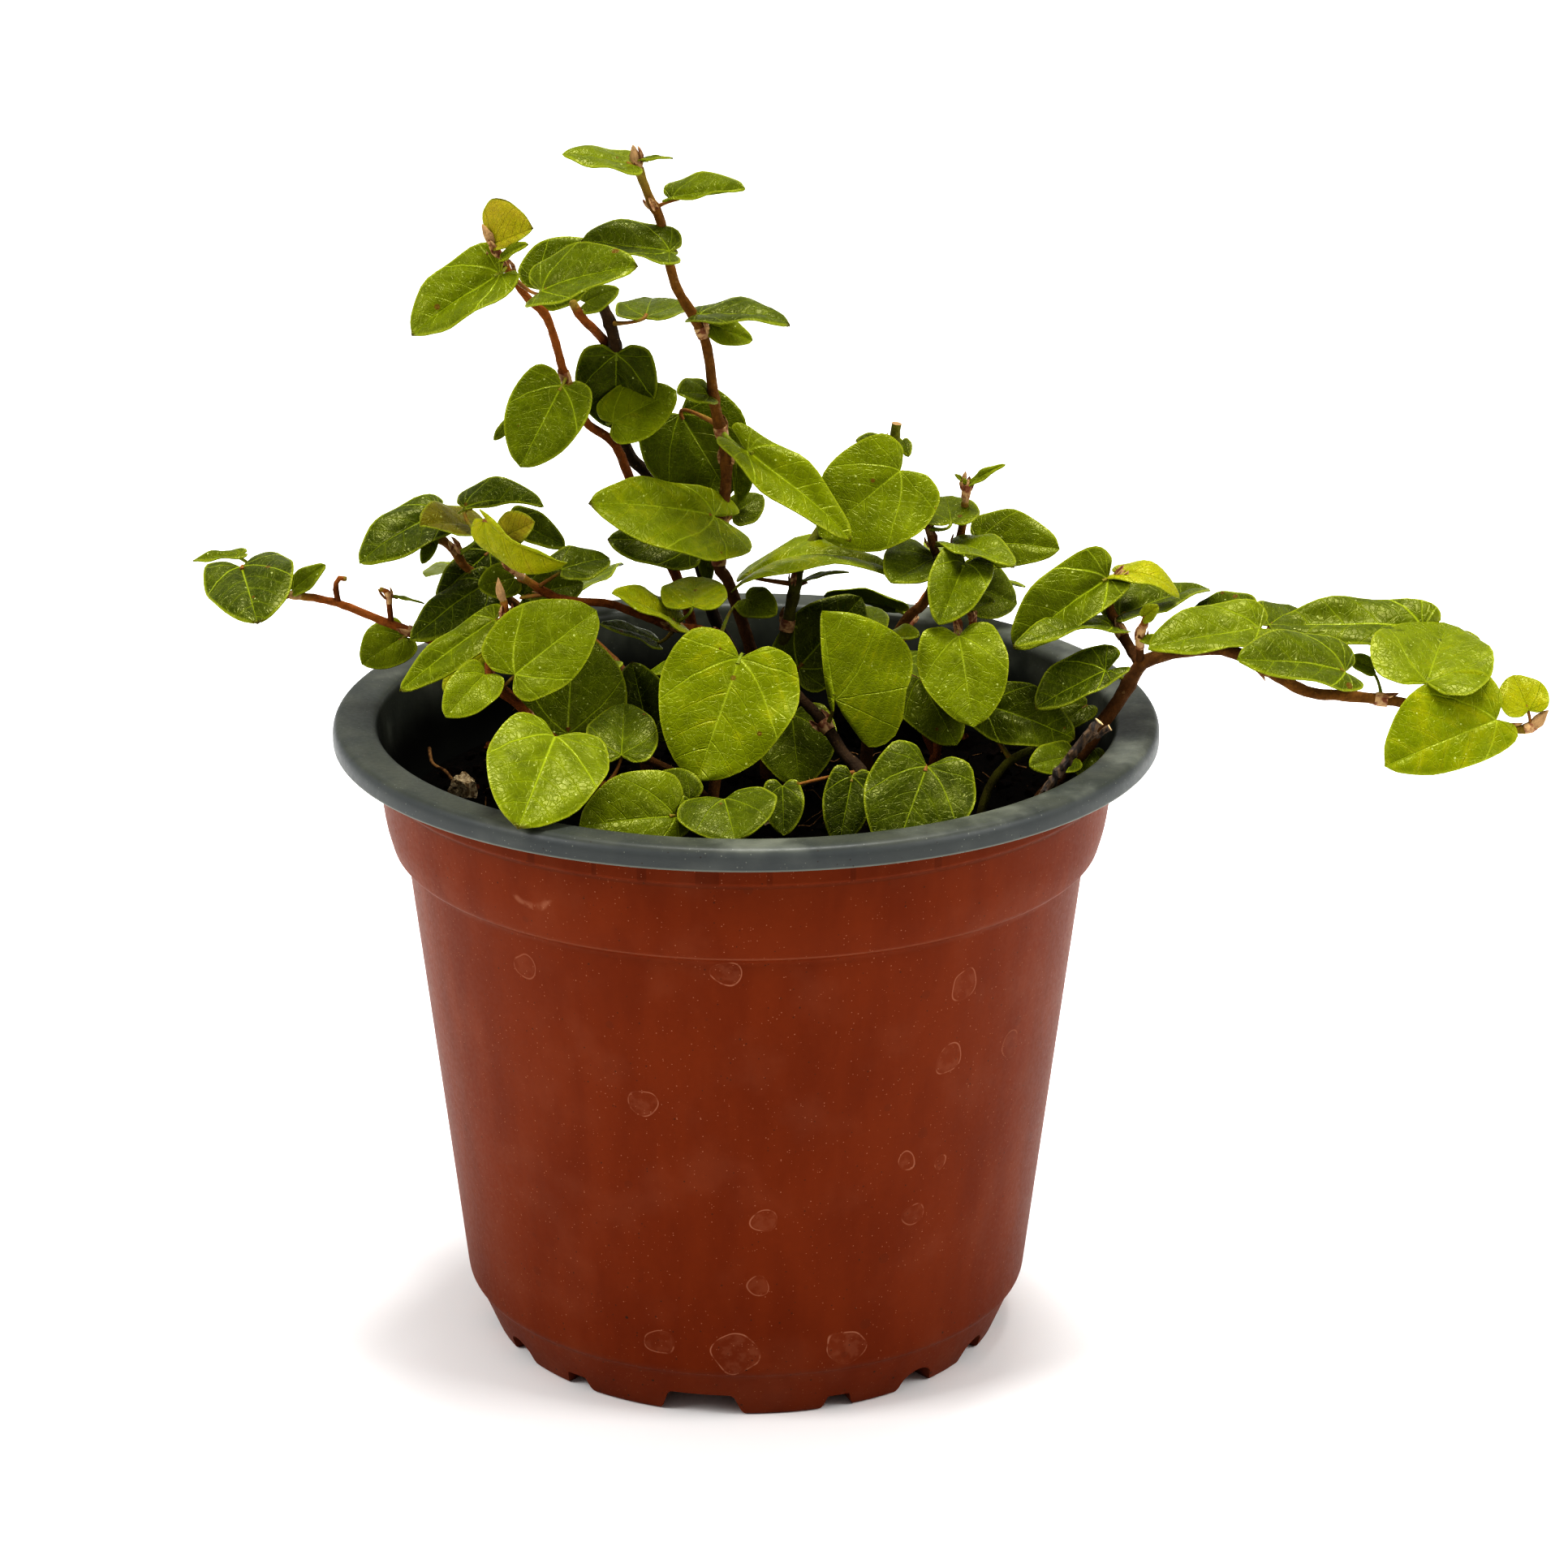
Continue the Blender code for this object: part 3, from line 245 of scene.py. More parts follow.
def catmull_rom(points: Sequence[Vector], place: float) -> Vector:
    """Return the point of a Catmull-Rom curve.

    Args:
        points: corners of the curve, two or more.
        place: place along the curve, counted in corners from 0.

    Returns:
        The point at that place.
    """
    index = min(int(place), len(points) - 2)
    share = place - index
    start, end = points[index], points[index + 1]
    before = points[index - 1] if index else start * 2 - end
    after = points[index + 2] if index + 2 < len(points) else end * 2 - start
    return 0.5 * (
        2 * start + (end - before) * share
        + (2 * before - 5 * start + 4 * end - after) * share ** 2
        + (3 * start - before - 3 * end + after) * share ** 3
    )


def smooth_route(points: Iterable[tuple], spacing: float) -> list:
    """Return points spaced evenly, in mm, along a smooth curve through the given ones."""
    corners = [Vector(point) for point in points]
    dense = [catmull_rom(corners, step / 12) for step in range(12 * (len(corners) - 1) + 1)]
    lengths = [0.0]
    for start, end in zip(dense, dense[1:]):
        lengths.append(lengths[-1] + (end - start).length)
    count = max(2, round(lengths[-1] / spacing))
    route = []
    index = 0
    for step in range(count + 1):
        target = lengths[-1] * step / count
        while index < len(dense) - 2 and lengths[index + 1] < target:
            index += 1
        share = (target - lengths[index]) / max(lengths[index + 1] - lengths[index], 1e-6)
        route.append(dense[index].lerp(dense[index + 1], min(max(share, 0.0), 1.0)))
    return route


def vein_start(reach: float, along: float) -> float:
    """Return where on the midrib the side vein that passes through a place begins."""
    return along - VEIN_SLOPE * reach - VEIN_BOW * reach * reach


def curve_outline(place: float) -> tuple:
    """Return a point of the half outline, for a place from 0 at the notch to 1 at the tip."""
    corners = [Vector(point).to_3d() for point in OUTLINE]
    point = catmull_rom(corners, place * (len(corners) - 1))
    return point.x, point.y


class Maker:
    """One mesh in the making, in mm, with the values on its points that the finishes read."""

    def __init__(self, seed: int) -> None:
        """Start an empty mesh whose random draws follow the seed."""
        self.bm = bmesh.new()
        self.random = random.Random(seed)
        values = self.bm.verts.layers.float
        self.tone, self.shade, self.under, self.rim = (
            values.new(name) for name in ("tone", "shade", "under", "rim"))
        self.place = self.bm.verts.layers.int.new("place")
        self.leaf_map = self.bm.loops.layers.uv.new("leaf_map")

    def paint(self, verts: Iterable, tone: float, shade: float) -> None:
        """Give points their tone and shade."""
        for vert in verts:
            vert[self.tone] = tone
            vert[self.shade] = shade

    def tube(self, path: list, radii: list, sides: int, look: Look, tones: list,
             shade: float = 0.5, rough: float = 0.0) -> None:
        """Sweep a circle along a path into a closed tube.

        Args:
            path: the tube's middle line.
            radii: its radius at each point of the path.
            sides: number of sides.
            look: the finish that it takes.
            tones: the tone value at each point of the path.
            shade: the shade value of the whole tube.
            rough: height of the unevenness of its surface.
        """
        heading = (path[1] - path[0]).normalized()
        made = bmesh.ops.create_circle(
            self.bm, cap_ends=True, segments=sides, radius=radii[0],
            matrix=self.stand(path[0], heading))
        face = made["verts"][0].link_faces[0]
        start = list(face.verts)
        self.paint(start, tones[0], shade)
        points = list(start)
        for index in range(1, len(path)):
            ahead = (path[min(index + 1, len(path) - 1)] - path[index - 1]).normalized()
            turned = heading.rotation_difference(ahead)
            face = bmesh.ops.extrude_discrete_faces(self.bm, faces=[face])["faces"][0]
            for vert in face.verts:
                offset = (turned @ (vert.co - path[index - 1])).normalized() * radii[index]
                bump = rough * noise.noise((path[index] + offset) * BARK_PITCH) if rough else 0.0
                vert.co = path[index] + offset * (1.0 + bump / max(radii[index], 0.05))
            self.paint(face.verts, tones[index], shade)
            points.extend(face.verts)
            heading = ahead
        self.bm.faces.new(list(reversed(start)))
        self.dress(points, look)

    @staticmethod
    def stand(place: Vector, heading: Vector) -> Matrix:
        """Return the matrix that stands an upright form at a place, turned to a heading."""
        return Matrix.Translation(place) @ UP.rotation_difference(heading).to_matrix().to_4x4()

    def sideways(self, ahead: Vector) -> Vector:
        """Draw a random direction across a heading."""
        side = ahead.orthogonal().normalized()
        side.rotate(Matrix.Rotation(self.random.uniform(0, math.tau), 3, ahead))
        return side

    @staticmethod
    def dress(verts: Iterable, look: Look) -> None:
        """Give the faces round some points a finish."""
        for vert in verts:
            for face in vert.link_faces:
                face.material_index = look.value

    def blade(self, leaf: Leaf, look: Look, grid: tuple, thickness: float) -> None:
        """Shape a grid into a leaf blade with two faces.

        Args:
            leaf: the leaf to build.
            look: the finish that it takes.
            grid: number of cells across and along.
            thickness: thickness of the blade, in mm.
        """
        made = bmesh.ops.create_grid(self.bm, x_segments=grid[0], y_segments=grid[1], size=1.0)
        seed = Vector((self.random.uniform(0, 90), self.random.uniform(0, 90), 0.0))
        shade = self.random.random()
        faces = list(dict.fromkeys(face for vert in made["verts"] for face in vert.link_faces))
        spots = []
        for number, vert in enumerate(made["verts"]):
            spots.append(self.blade_spot(leaf, vert.co.x, (vert.co.y + 1) / 2, seed))
            vert[self.place] = number
            vert[self.rim] = spots[-1][3]
        self.paint(made["verts"], leaf.tone, shade)
        for face in faces:
            face.material_index = look.value
            for loop in face.loops:
                loop[self.leaf_map].uv = spots[loop.vert[self.place]][2]
        grown = bmesh.ops.extrude_face_region(self.bm, geom=faces, use_keep_orig=True)
        lower = [item for item in grown["geom"] if isinstance(item, bmesh.types.BMVert)]
        for side, verts in ((0.5, made["verts"]), (-0.5, lower)):
            for vert in verts:
                middle, up, _, rim = spots[vert[self.place]]
                thin = 0.5 + 0.5 * min(1.0, rim / THIN_EDGE)
                vert.co = middle + up * (side * thickness * thin)
                vert[self.under] = 0.0 if side > 0 else 1.0

    @staticmethod
    def blade_spot(leaf: Leaf, share: float, row: float, seed: Vector) -> tuple:
        """Return a spot of a blade's middle surface.

        Args:
            leaf: the leaf.
            share: place across its grid, from -1 to 1.
            row: place along its grid, from 0 to 1.
            seed: shift of its unevenness.

        Returns:
            The point, the upper direction, the map coordinates and the distance to the margin.
        """
        edge_x, edge_y = curve_outline(OUTLINE_START + OUTLINE_RUN * row)
        half = leaf.half[share > 0]
        edge_y *= leaf.lobe if edge_y < 0 and half >= SLIM_HALF else 1.0
        spot = seed + Vector((math.copysign(7.0, share), 5.0 * row, 2.0))
        edge_x *= 1.0 + EDGE_NOISE * noise.noise(spot)
        rib = row ** ROW_POWER
        across, along = share * edge_x, rib + abs(share) * (edge_y - rib)
        reach = abs(across) * half
        point, up = leaf.surface(across, along)
        start = vein_start(reach, along) - (VEIN_STAGGER if across > 0 else 0.0)
        swell = abs(math.sin(math.pi * start / VEIN_SPACING if start > 0 else 4.0 * start))
        inside = min(1.0, (1 - abs(share)) * 3.0)
        groove = math.exp(-(reach / RIB_HALF) ** 2)
        lift = leaf.chord * (VEIN_SWELL * swell * inside * min(1.0, reach * 9) - RIB_GROOVE * groove)
        for level, (height, pitch_x, pitch_y) in enumerate(UNEVENNESS):
            spot = seed + Vector((across * pitch_x, along * pitch_y, 3.0 * level))
            lift += height * leaf.chord * noise.noise(spot)
        curl = EDGE_CURL * leaf.chord * abs(share) ** 5 * (leaf.tone - FLAT_TONE)
        point = point + up * (lift + curl)
        uv = (0.5 + math.copysign(reach, across) / 2, (along + MAP_SHIFT) / MAP_SPAN)
        width = math.hypot(edge_x * half, edge_y - rib) * leaf.chord
        return point, up, uv, (1 - abs(share)) * width

    def hairs(self, path: list, radii: list, per_mm: float, length: float, look: Look) -> None:
        """Stand short pointed hairs on a tube."""
        for index in range(1, len(path) - 1):
            step = path[index + 1] - path[index]
            for _ in range(int(per_mm * step.length + self.random.random())):
                ahead = step.normalized()
                side = self.sideways(ahead)
                lean = (side + ahead * self.random.uniform(-0.2, 0.7)).normalized()
                size = length * self.random.uniform(0.5, 1.2)
                foot = path[index] + step * self.random.random() + side * radii[index] * 0.9
                made = bmesh.ops.create_cone(
                    self.bm, cap_ends=True, segments=3, radius1=HAIR_RADII[0], radius2=HAIR_RADII[1],
                    depth=size, matrix=self.stand(foot + lean * size / 2, lean))
                self.paint(made["verts"], 0.2, 0.5)
                self.dress(made["verts"], look)

    def piece(self, name: str, looks: list, sharp: float = 50.0) -> bpy.types.Object:
        """Turn the mesh into an object in metres.

        Args:
            name: name of the new object.
            looks: its materials, in order.
            sharp: angle, in degrees, from which an edge is drawn sharp.

        Returns:
            The object, linked to the scene.
        """
        bmesh.ops.recalc_face_normals(self.bm, faces=self.bm.faces)
        self.bm.verts.layers.int.remove(self.place)
        return object_from(self.bm, name, looks, sharp)


def object_from(bm: bmesh.types.BMesh, name: str, looks: list, sharp: float) -> bpy.types.Object:
    """Turn a bmesh in mm into a smooth-shaded object in metres."""
    bmesh.ops.scale(bm, vec=(MM, MM, MM), verts=bm.verts)
    mesh = bpy.data.meshes.new(name)
    bm.to_mesh(mesh)
    bm.free()
    for look in looks:
        mesh.materials.append(look)
    mesh.shade_smooth()
    mesh.set_sharp_from_angle(angle=math.radians(sharp))
    thing = bpy.data.objects.new(name, mesh)
    bpy.context.scene.collection.objects.link(thing)
    return thing


@dataclass
class LeafyStem:
    """One leafy stem: its shoots, and the leaves that stand on them."""

    name: str
    bark: Bark
    shoots: list
    leaves: list
    spacing: float = 0.9
    sides: int = 10
    stalk_radius: float = 0.36
    blade_thickness: float = 0.34
    blade_grid: tuple = (20, 24)
    end: End = End.BUD
    bud: float = 3.2
    # Swelling of a shoot where a leaf grows: share of its radius, and reach along it in mm
    node_swell: float = 0.22
    node_reach: float = 0.9
    # Height of the bark's unevenness in mm, and hairs per mm and their length on shoots and stalks
    roughness: float = 0.13
    shoot_hairs: tuple = (0.9, 0.5)
    stalk_hairs: tuple = (1.2, 0.32)
    # A stalk: how far behind the notch its root is looked for, where under the blade it starts, its
    # steps and sides, its drop and bow as shares of its length, and the most that they reach in mm
    root_setback: float = 1.4
    stalk_start: tuple = (0.9, 0.1)
    stalk_steps: int = 10
    stalk_sides: int = 8
    drop_share: float = 0.2
    bow_share: float = 0.45
    most_bow: float = 1.4
    most_hook: float = 2.8
    # Tone from which a leaf is too old to have scales at its foot; widths of the collar there as
    # shares of the shoot's, and the share of the nodes that have one
    bare_tone: float = 0.62
    collar: tuple = (1.02, 1.12, 1.05)
    collar_share: float = 0.6
    # The scales: number, least and greatest length and lean in mm, the last five values of their
    # Leaf, their grid and their thickness
    scales: int = 2
    scale_length: tuple = (1.4, 2.6)
    scale_lean: tuple = (0.1, 0.7)
    scale_form: tuple = ((0.24, 0.24), 35, 12, 0.3, 0.2)
    scale_grid: tuple = (4, 6)
    scale_thickness: float = 0.12
    paths: list = field(default_factory=list)
    plain: list = field(default_factory=list)
    radii: list = field(default_factory=list)

    def build(self, looks: list) -> bpy.types.Object:
        """Build the stem as one piece that stands for its solid.

        Args:
            looks: materials in the order of Look.

        Returns:
            The finished piece.
        """
        maker = Maker(sum(map(ord, self.name)))
        self.paths = [smooth_route(shoot.route, self.spacing) for shoot in self.shoots]
        self.plain = [self.taper(shoot, path) for shoot, path in zip(self.shoots, self.paths)]
        self.radii = [list(row) for row in self.plain]
        roots = [self.root_of(leaf) for leaf in self.leaves]
        for number, index in roots:
            self.swell(number, index)
        for number in range(len(self.shoots)):
            self.add_shoot(maker, number)
        for leaf, (number, index) in zip(self.leaves, roots):
            maker.blade(leaf, Look.BLADE, self.blade_grid, self.blade_thickness)
            self.add_stalk(maker, leaf, self.paths[number][index])
            if leaf.tone < self.bare_tone:
                self.add_sheath(maker, number, index)
        piece = maker.piece(self.name.replace("stem_", "") + "_leafy_stem", looks)
        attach(piece, "root")
        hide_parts(self.name)
        return piece

    @staticmethod
    def taper(shoot: Shoot, path: list) -> list:
        """Return the radius at each point of a shoot's path."""
        first, last = shoot.radii
        return [first + (last - first) * index / (len(path) - 1) for index in range(len(path))]

    def root_of(self, leaf: Leaf) -> tuple:
        """Return the shoot and the point on it that a leaf's stalk grows from, as two indices."""
        forward, _, _ = leaf.axes()
        target = Vector(leaf.base) - forward * self.root_setback - UP
        found = []
        for number, path in enumerate(self.paths):
            for index, point in enumerate(path):
                found.append(((point - target).length, number, index))
        _, number, index = min(found)
        return number, min(index, len(self.paths[number]) - 2)

    def swell(self, number: int, index: int) -> None:
        """Thicken a shoot where a leaf grows from it."""
        for place in range(len(self.radii[number])):
            away = (place - index) * self.spacing
            share = 1.0 + self.node_swell * math.exp(-(away / self.node_reach) ** 2)
            swollen = self.plain[number][place] * share
            self.radii[number][place] = max(self.radii[number][place], swollen)

    def add_shoot(self, maker: Maker, number: int) -> None:
        """Add one shoot with its bark and hairs, and the bud or the round or cut end it has."""
        path, radii = list(self.paths[number]), list(self.radii[number])
        ahead = (path[-1] - path[-2]).normalized()
        third = len(path) // 3
        maker.hairs(path[third:], radii[third:], *self.shoot_hairs, Look.STALK)
        age = [1.0 - place / (len(path) - 1) for place in range(len(path))]
        end = self.end if number == 0 else End.ROUND
        if end is End.BUD:
            count = round(self.bud / self.spacing)
            last, radius = path[-1 - count:], radii[-1 - count]
            path, radii, age = path[:-count], radii[:-count], age[:-count]
            for share, width in BUD_SHAPE:
                path.append(catmull_rom(last, share * count))
                radii.append(radius * width)
                age.append(BUD_TONE)
        else:
            for step, share in CUT_END if end is End.CUT else ROUND_END:
                path.append(self.paths[number][-1] + ahead * step * radii[-1])
                radii.append(self.radii[number][-1] * share)
                age.append(BUD_TONE if end is End.CUT else 0.0)
        bark = self.shoots[number].bark or self.bark
        maker.tube(path, radii, self.sides, Look.BARK, age, bark.value, self.roughness)

    def add_stalk(self, maker: Maker, leaf: Leaf, root: Vector) -> None:
        """Add a leaf's stalk, bowed down from under the notch to its root in the shoot."""
        forward, _, upper = leaf.axes()
        base = Vector(leaf.base)
        reach = (root - base).length
        hooked = (root - base).dot(forward) > 0
        back = min(self.most_hook, reach) if hooked else min(self.bow_share * reach, self.most_bow)
        drop = self.drop_share * (min(reach, self.most_bow) if hooked else reach)
        pull = base - forward * back - upper * drop
        start = base + forward * self.stalk_start[0] - upper * self.stalk_start[1]
        count = self.stalk_steps
        path = []
        for step in range(count + 1):
            share = step / count
            path.append(start.lerp(pull, share).lerp(pull.lerp(root, share), share))
        thick = self.stalk_radius * (0.75 + 0.25 * min(1.0, leaf.chord / 12))
        radii = [thick * (0.7 + 0.45 * abs(2 * step / count - 0.9) ** 2) for step in range(count + 1)]
        tones = [leaf.tone] * (count + 1)
        maker.tube(path, radii, self.stalk_sides, Look.STALK, tones, maker.random.random())
        maker.hairs(path, radii, *self.stalk_hairs, Look.STALK)

    def add_sheath(self, maker: Maker, number: int, index: int) -> None:
        """Add the papery scales that stay at a node of a young stretch."""
        path, radius = self.paths[number], self.radii[number][index]
        ahead = (path[index + 1] - path[index]).normalized()
        if index > 1 and maker.random.random() < self.collar_share:
            radii = [radius * share for share in self.collar]
            maker.tube(path[index - 1:index + 2], radii, self.sides, Look.SHEATH, [0.2] * 3)
        for _ in range(self.scales):
            side = maker.sideways(ahead)
            foot = path[index] + side * radius * 0.8
            tip = foot + ahead * maker.random.uniform(*self.scale_length)
            tip += side * maker.random.uniform(*self.scale_lean)
            azimuth = math.degrees(math.atan2(-side.x, side.y)) + 180.0
            lift = math.degrees(math.asin(max(-1.0, min(1.0, -side.z))))
            scale = Leaf(tuple(foot), tuple(tip), (azimuth, lift), *self.scale_form)
            maker.blade(scale, Look.SHEATH, self.scale_grid, self.scale_thickness)


# The plant: every stem with its shoots and leaves
PLANT = [
    LeafyStem("stem_tall", Bark.BROWN, [
        Shoot((1.05, 0.62), [
            (3, 14, 72.5), (3, 14, 84), (2.5, 13, 93), (0.7, 12, 100.5), (-2.5, 12, 110.5),
            (-4, 12, 114), (-3, 12, 125), (-3, 12, 130.5), (-4.5, 10, 138), (-6, 8, 148.5),
            (-10, 6, 156.5), (-12, 4, 166), (-13.5, 3, 169.5), (-15.2, 2, 174.5), (-15.8, 1.8, 177.4),
        ]),
    ], [
        Leaf((-15.8, 1, 174.9), (-25.6, 0, 176.5), (0, 77), (0.42, 0.38), 4, 8, 0.57),
        Leaf((-14.6, 1.6, 175.4), (-10.2, 1, 175.7), (0, 90), (0.20, 0.20), 0, 20, 0.6),
        Leaf((-10.4, 3, 169.6), (-0.1, 1, 171.4), (0, 74), (0.40, 0.10), 18, 4, 0.6),
        Leaf((-10.8, 0.3, 162.5), (-23.2, 0, 164.2), (0, 69), (0.42, 0.40), 17, 12, 0.7),
        Leaf((-6.6, 6, 152.2), (6.3, 4, 151.2), (0, 84), (0.38, 0.38), 7, 30, 0.68),
        Leaf((-5.1, 9, 150), (1, 10.5, 147.4), (0, 40), (0.28, 0.36), 10, 10, 0.4),
        Leaf((-5.6, 9, 139.8), (-9.8, 5, 141), (0, 50), (0.46, 0.46), 14, 10, 0.72),
        Leaf((-9.6, 17, 134.8), (-2.4, 15, 123), (0, 24), (0.55, 0.60), 6, 12, 0.68),
        Leaf((-4.6, 8, 122), (-22.5, 1, 126.1), (0, 56), (0.52, 0.27), 5, 14, 0.37, lobe=1.9),
        Leaf((-2, 14.5, 120.2), (2.4, 18, 122.3), (0, 45), (0.40, 0.50), 8, 10, 0.65),
        Leaf((-6.1, 15, 114), (-5.5, 15, 109.5), (0, 20), (0.26, 0.26), 6, 5, 0.6),
        Leaf((-1.4, 14, 128.3), (-1.2, 15.4, 121.6), (0, 30), (0.34, 0.10), 6, 5, 0.6),
        Leaf((0.3, 5, 132.7), (15.2, -1, 120.9), (0, 66), (0.20, 0.28), 16, 12, 0.42, lobe=1.6),
    ]),
    LeafyStem("stem_left_tall", Bark.REDDISH, [
        Shoot((0.95, 0.52), [
            (-6, 21, 72.5), (-6, 21, 84), (-7, 20.5, 95), (-8.4, 20, 103), (-10.6, 19, 110.2),
            (-14.2, 17, 117.6), (-17, 14, 125.9), (-19.2, 12, 131.8), (-22.7, 11, 134.7),
            (-24.4, 10, 137.8), (-26, 10, 142), (-28.3, 8, 151), (-31, 6, 154.5),
            (-34.6, 4, 160.5), (-36.4, 3, 164.5), (-37.2, 3, 166),
        ]),
    ], [
        Leaf((-35.3, 3, 163.2), (-29.9, 1, 165.8), (0, 26), (0.92, 0.20), 8, 6, 0.06),
        Leaf((-34.8, 2, 159.2), (-47.3, -1, 151), (0, 62), (0.40, 0.40), 18, 8, 0.5),
        Leaf((-34.3, 2, 161.3), (-30.5, -0.5, 163.8), (0, 55), (0.26, 0.26), 15, 20, 0.5),
        Leaf((-28.5, -6.5, 158.7), (-15, -10, 163), (0, 61), (0.40, 0.40), 16, 14, 0.6),
        Leaf((-29.5, 12, 154.5), (-21.1, 16, 160), (0, 35), (0.50, 0.46), 8, 14, 0.66),
        Leaf((-26.4, 7, 141.6), (-32.3, 1, 131.1), (0, 28), (0.42, 0.44), 6, 16, 0.58),
        Leaf((-34.2, 10, 135.4), (-36.5, 10, 132.7), (0, 20), (0.25, 0.25), 0, 0, 0.6),
        Leaf((-8.2, 13, 116.1), (-20.3, 12, 117.3), (0, 51), (0.40, 0.30), 6, 10, 0.72),
    ]),
    LeafyStem("stem_woody", Bark.DARK, end=End.ROUND, shoots=[
        Shoot((1.0, 0.85), [
            (2, 25, 72.5), (2, 25, 84), (-1.5, 24, 95), (-4.8, 23, 102.1), (-6.9, 22, 110.3),
            (-10.7, 21, 117.1), (-14.3, 20, 124.5), (-17.2, 18.5, 128.4), (-18.6, 17.5, 133.6),
            (-18.7, 16, 140.2), (-18.8, 13, 145.6), (-19.7, 12, 149.9), (-21.3, 12, 153.6),
        ]),
        Shoot((0.75, 0.6), [
            (-18.7, 15.6, 141.5), (-20.4, 13.4, 146.4), (-23.4, 9, 151), (-24.8, 8.6, 153.4),
        ], Bark.REDDISH),
    ], leaves=[
        Leaf((-18.7, 12, 144.9), (-19, 14, 133.2), (0, 24), (0.51, 0.50), 6, 14, 0.78),
        Leaf((-19.2, 9.5, 135.5), (-10.1, 13, 139.3), (0, 36), (0.42, 0.44), 6, 10, 0.48),
        Leaf((-14.4, 10, 151), (-13.5, 20, 151.3), (0, 86), (0.46, 0.54), 5, 12, 0.66),
        Leaf((-22.9, 8.6, 153.4), (-18.1, 8, 155.5), (0, 50), (0.36, 0.50), 5, 10, 0.68),
    ]),
    LeafyStem("stem_left_low", Bark.REDDISH, [
        Shoot((0.85, 0.5), [
            (6, 4, 72.5), (6, 4, 84), (3, 3.5, 94), (-4.3, 2, 105.2), (-11, 0, 107.8),
            (-16.7, -2, 110.6), (-19.8, -3, 112), (-25, -5, 113.1), (-28.5, -6, 114.5),
            (-32.8, -8, 118.3), (-33.8, -8.4, 119.8),
        ]),
    ], [
        Leaf((-36.8, -9.5, 126.3), (-25.2, -13, 120.9), (0, -30), (0.08, 0.32), 10, 50, 0.28),
        Leaf((-34, -6.8, 123.2), (-29.9, -8.6, 125.8), (0, 30), (0.60, 0.42), 10, 8, 0.1),
        Leaf((-40, -2.5, 126.2), (-28.7, -3.5, 126.8), (0, 60), (0.36, 0.06), 10, 46, 0.85),
        Leaf((-33.4, 2, 123), (-26, 0.5, 119.3), (0, 45), (0.34, 0.26), 10, 12, 0.8),
        Leaf((-26.2, -7, 118.3), (-19.6, -2, 118.6), (0, 62), (0.44, 0.44), 8, 10, 0.7),
        Leaf((-32, 0, 112.2), (-23.5, 2.5, 113.4), (0, 42), (0.40, 0.44), 8, 10, 0.7),
        Leaf((-33.4, 0.5, 114.8), (-38.6, -1, 113.9), (0, 30), (0.50, 0.50), 6, 8, 0.6),
        Leaf((-9.8, -4, 109.6), (-19.1, -8, 115.2), (0, 72), (0.34, 0.34), 10, 10, 0.38),
        Leaf((-7.6, -5, 112.2), (-7.2, 4.5, 113.7), (0, 80), (0.50, 0.50), 6, 10, 0.36),
        Leaf((0, 7.2, 109.6), (4.4, 3.4, 108.4), (0, 42), (0.46, 0.46), 8, 10, 0.6),
        Leaf((-13.4, 3, 104.5), (-21.1, 1, 107.8), (0, 86), (0.40, 0.40), 6, 10, 0.82),
    ]),
    LeafyStem("stem_far_left", Bark.REDDISH, [
        Shoot((0.85, 0.55), [
            (-22, 2, 72.5), (-22, 2, 83), (-30, 3, 92), (-41, 4, 101.5), (-48, 4, 105.3),
            (-53, 4, 107.3), (-57.7, 4, 109.4), (-61.7, 4, 110.6), (-66.2, 3, 111.6), (-67.6, 3, 112.6),
        ]),
        Shoot((0.45, 0.35), [(-59.2, 4, 110.2), (-59.5, 4, 112.4), (-59, 4, 113.7), (-58, 4, 113.6)]),
        Shoot((0.45, 0.35), [(-51.6, 4, 107), (-51.8, 4, 109.4), (-51.9, 4, 111.4), (-53, 4, 112.1)]),
    ], [
        Leaf((-73.3, 6, 115), (-69.8, -7, 110.3), (0, 50), (0.50, 0.43), 7, 14, 0.74),
        Leaf((-73.6, 9, 116), (-80.6, 8, 115.2), (0, 80), (0.22, 0.22), 6, 8, 0.6),
        Leaf((-65.4, 3, 112.4), (-60.9, 4.6, 115.6), (0, 55), (0.32, 0.32), 12, 8, 0.6),
        Leaf((-50, 6, 104.2), (-56, 3, 101), (0, 36), (0.48, 0.54), 7, 10, 0.5),
        Leaf((-51.4, 4.4, 111), (-46.8, 6, 109.4), (0, 95), (0.12, 0.12), 0, 5, 0.5),
    ]),
    LeafyStem("stem_left_back", Bark.BROWN, [
        Shoot((0.95, 0.55), [
            (-15, 9, 72.5), (-15, 9, 84), (-23, 9, 98), (-34, 7.5, 109), (-40.6, 6, 114.7),
            (-41.8, 6, 116.6), (-44, 6, 118.9), (-46.8, 4.5, 120.1), (-48.2, 3.8, 120.5),
        ]),
    ], [
        Leaf((-44.4, 6.5, 123), (-55.5, -2, 117.9), (0, 62), (0.36, 0.30), 8, 20, 0.80),
        Leaf((-38, 3, 121.3), (-46.4, -5, 124.3), (0, 66), (0.42, 0.42), 8, 20, -0.4),
        Leaf((-45.3, 4, 119.4), (-46.7, 1.6, 116.6), (0, 25), (0.28, 0.28), 5, 5, 0.6),
        Leaf((-37.4, 8.5, 116.4), (-45, 4, 110.4), (0, 40), (0.40, 0.26), 7, 14, 0.85),
        Leaf((-37.5, 4, 113), (-48.4, -3, 106.6), (0, 60), (0.34, 0.24), 8, 12, 0.82),
        Leaf((-27, 11, 105), (-34, 22, 104), (10, 88), (0.46, 0.46), 6, 22, 0.6),
    ]),
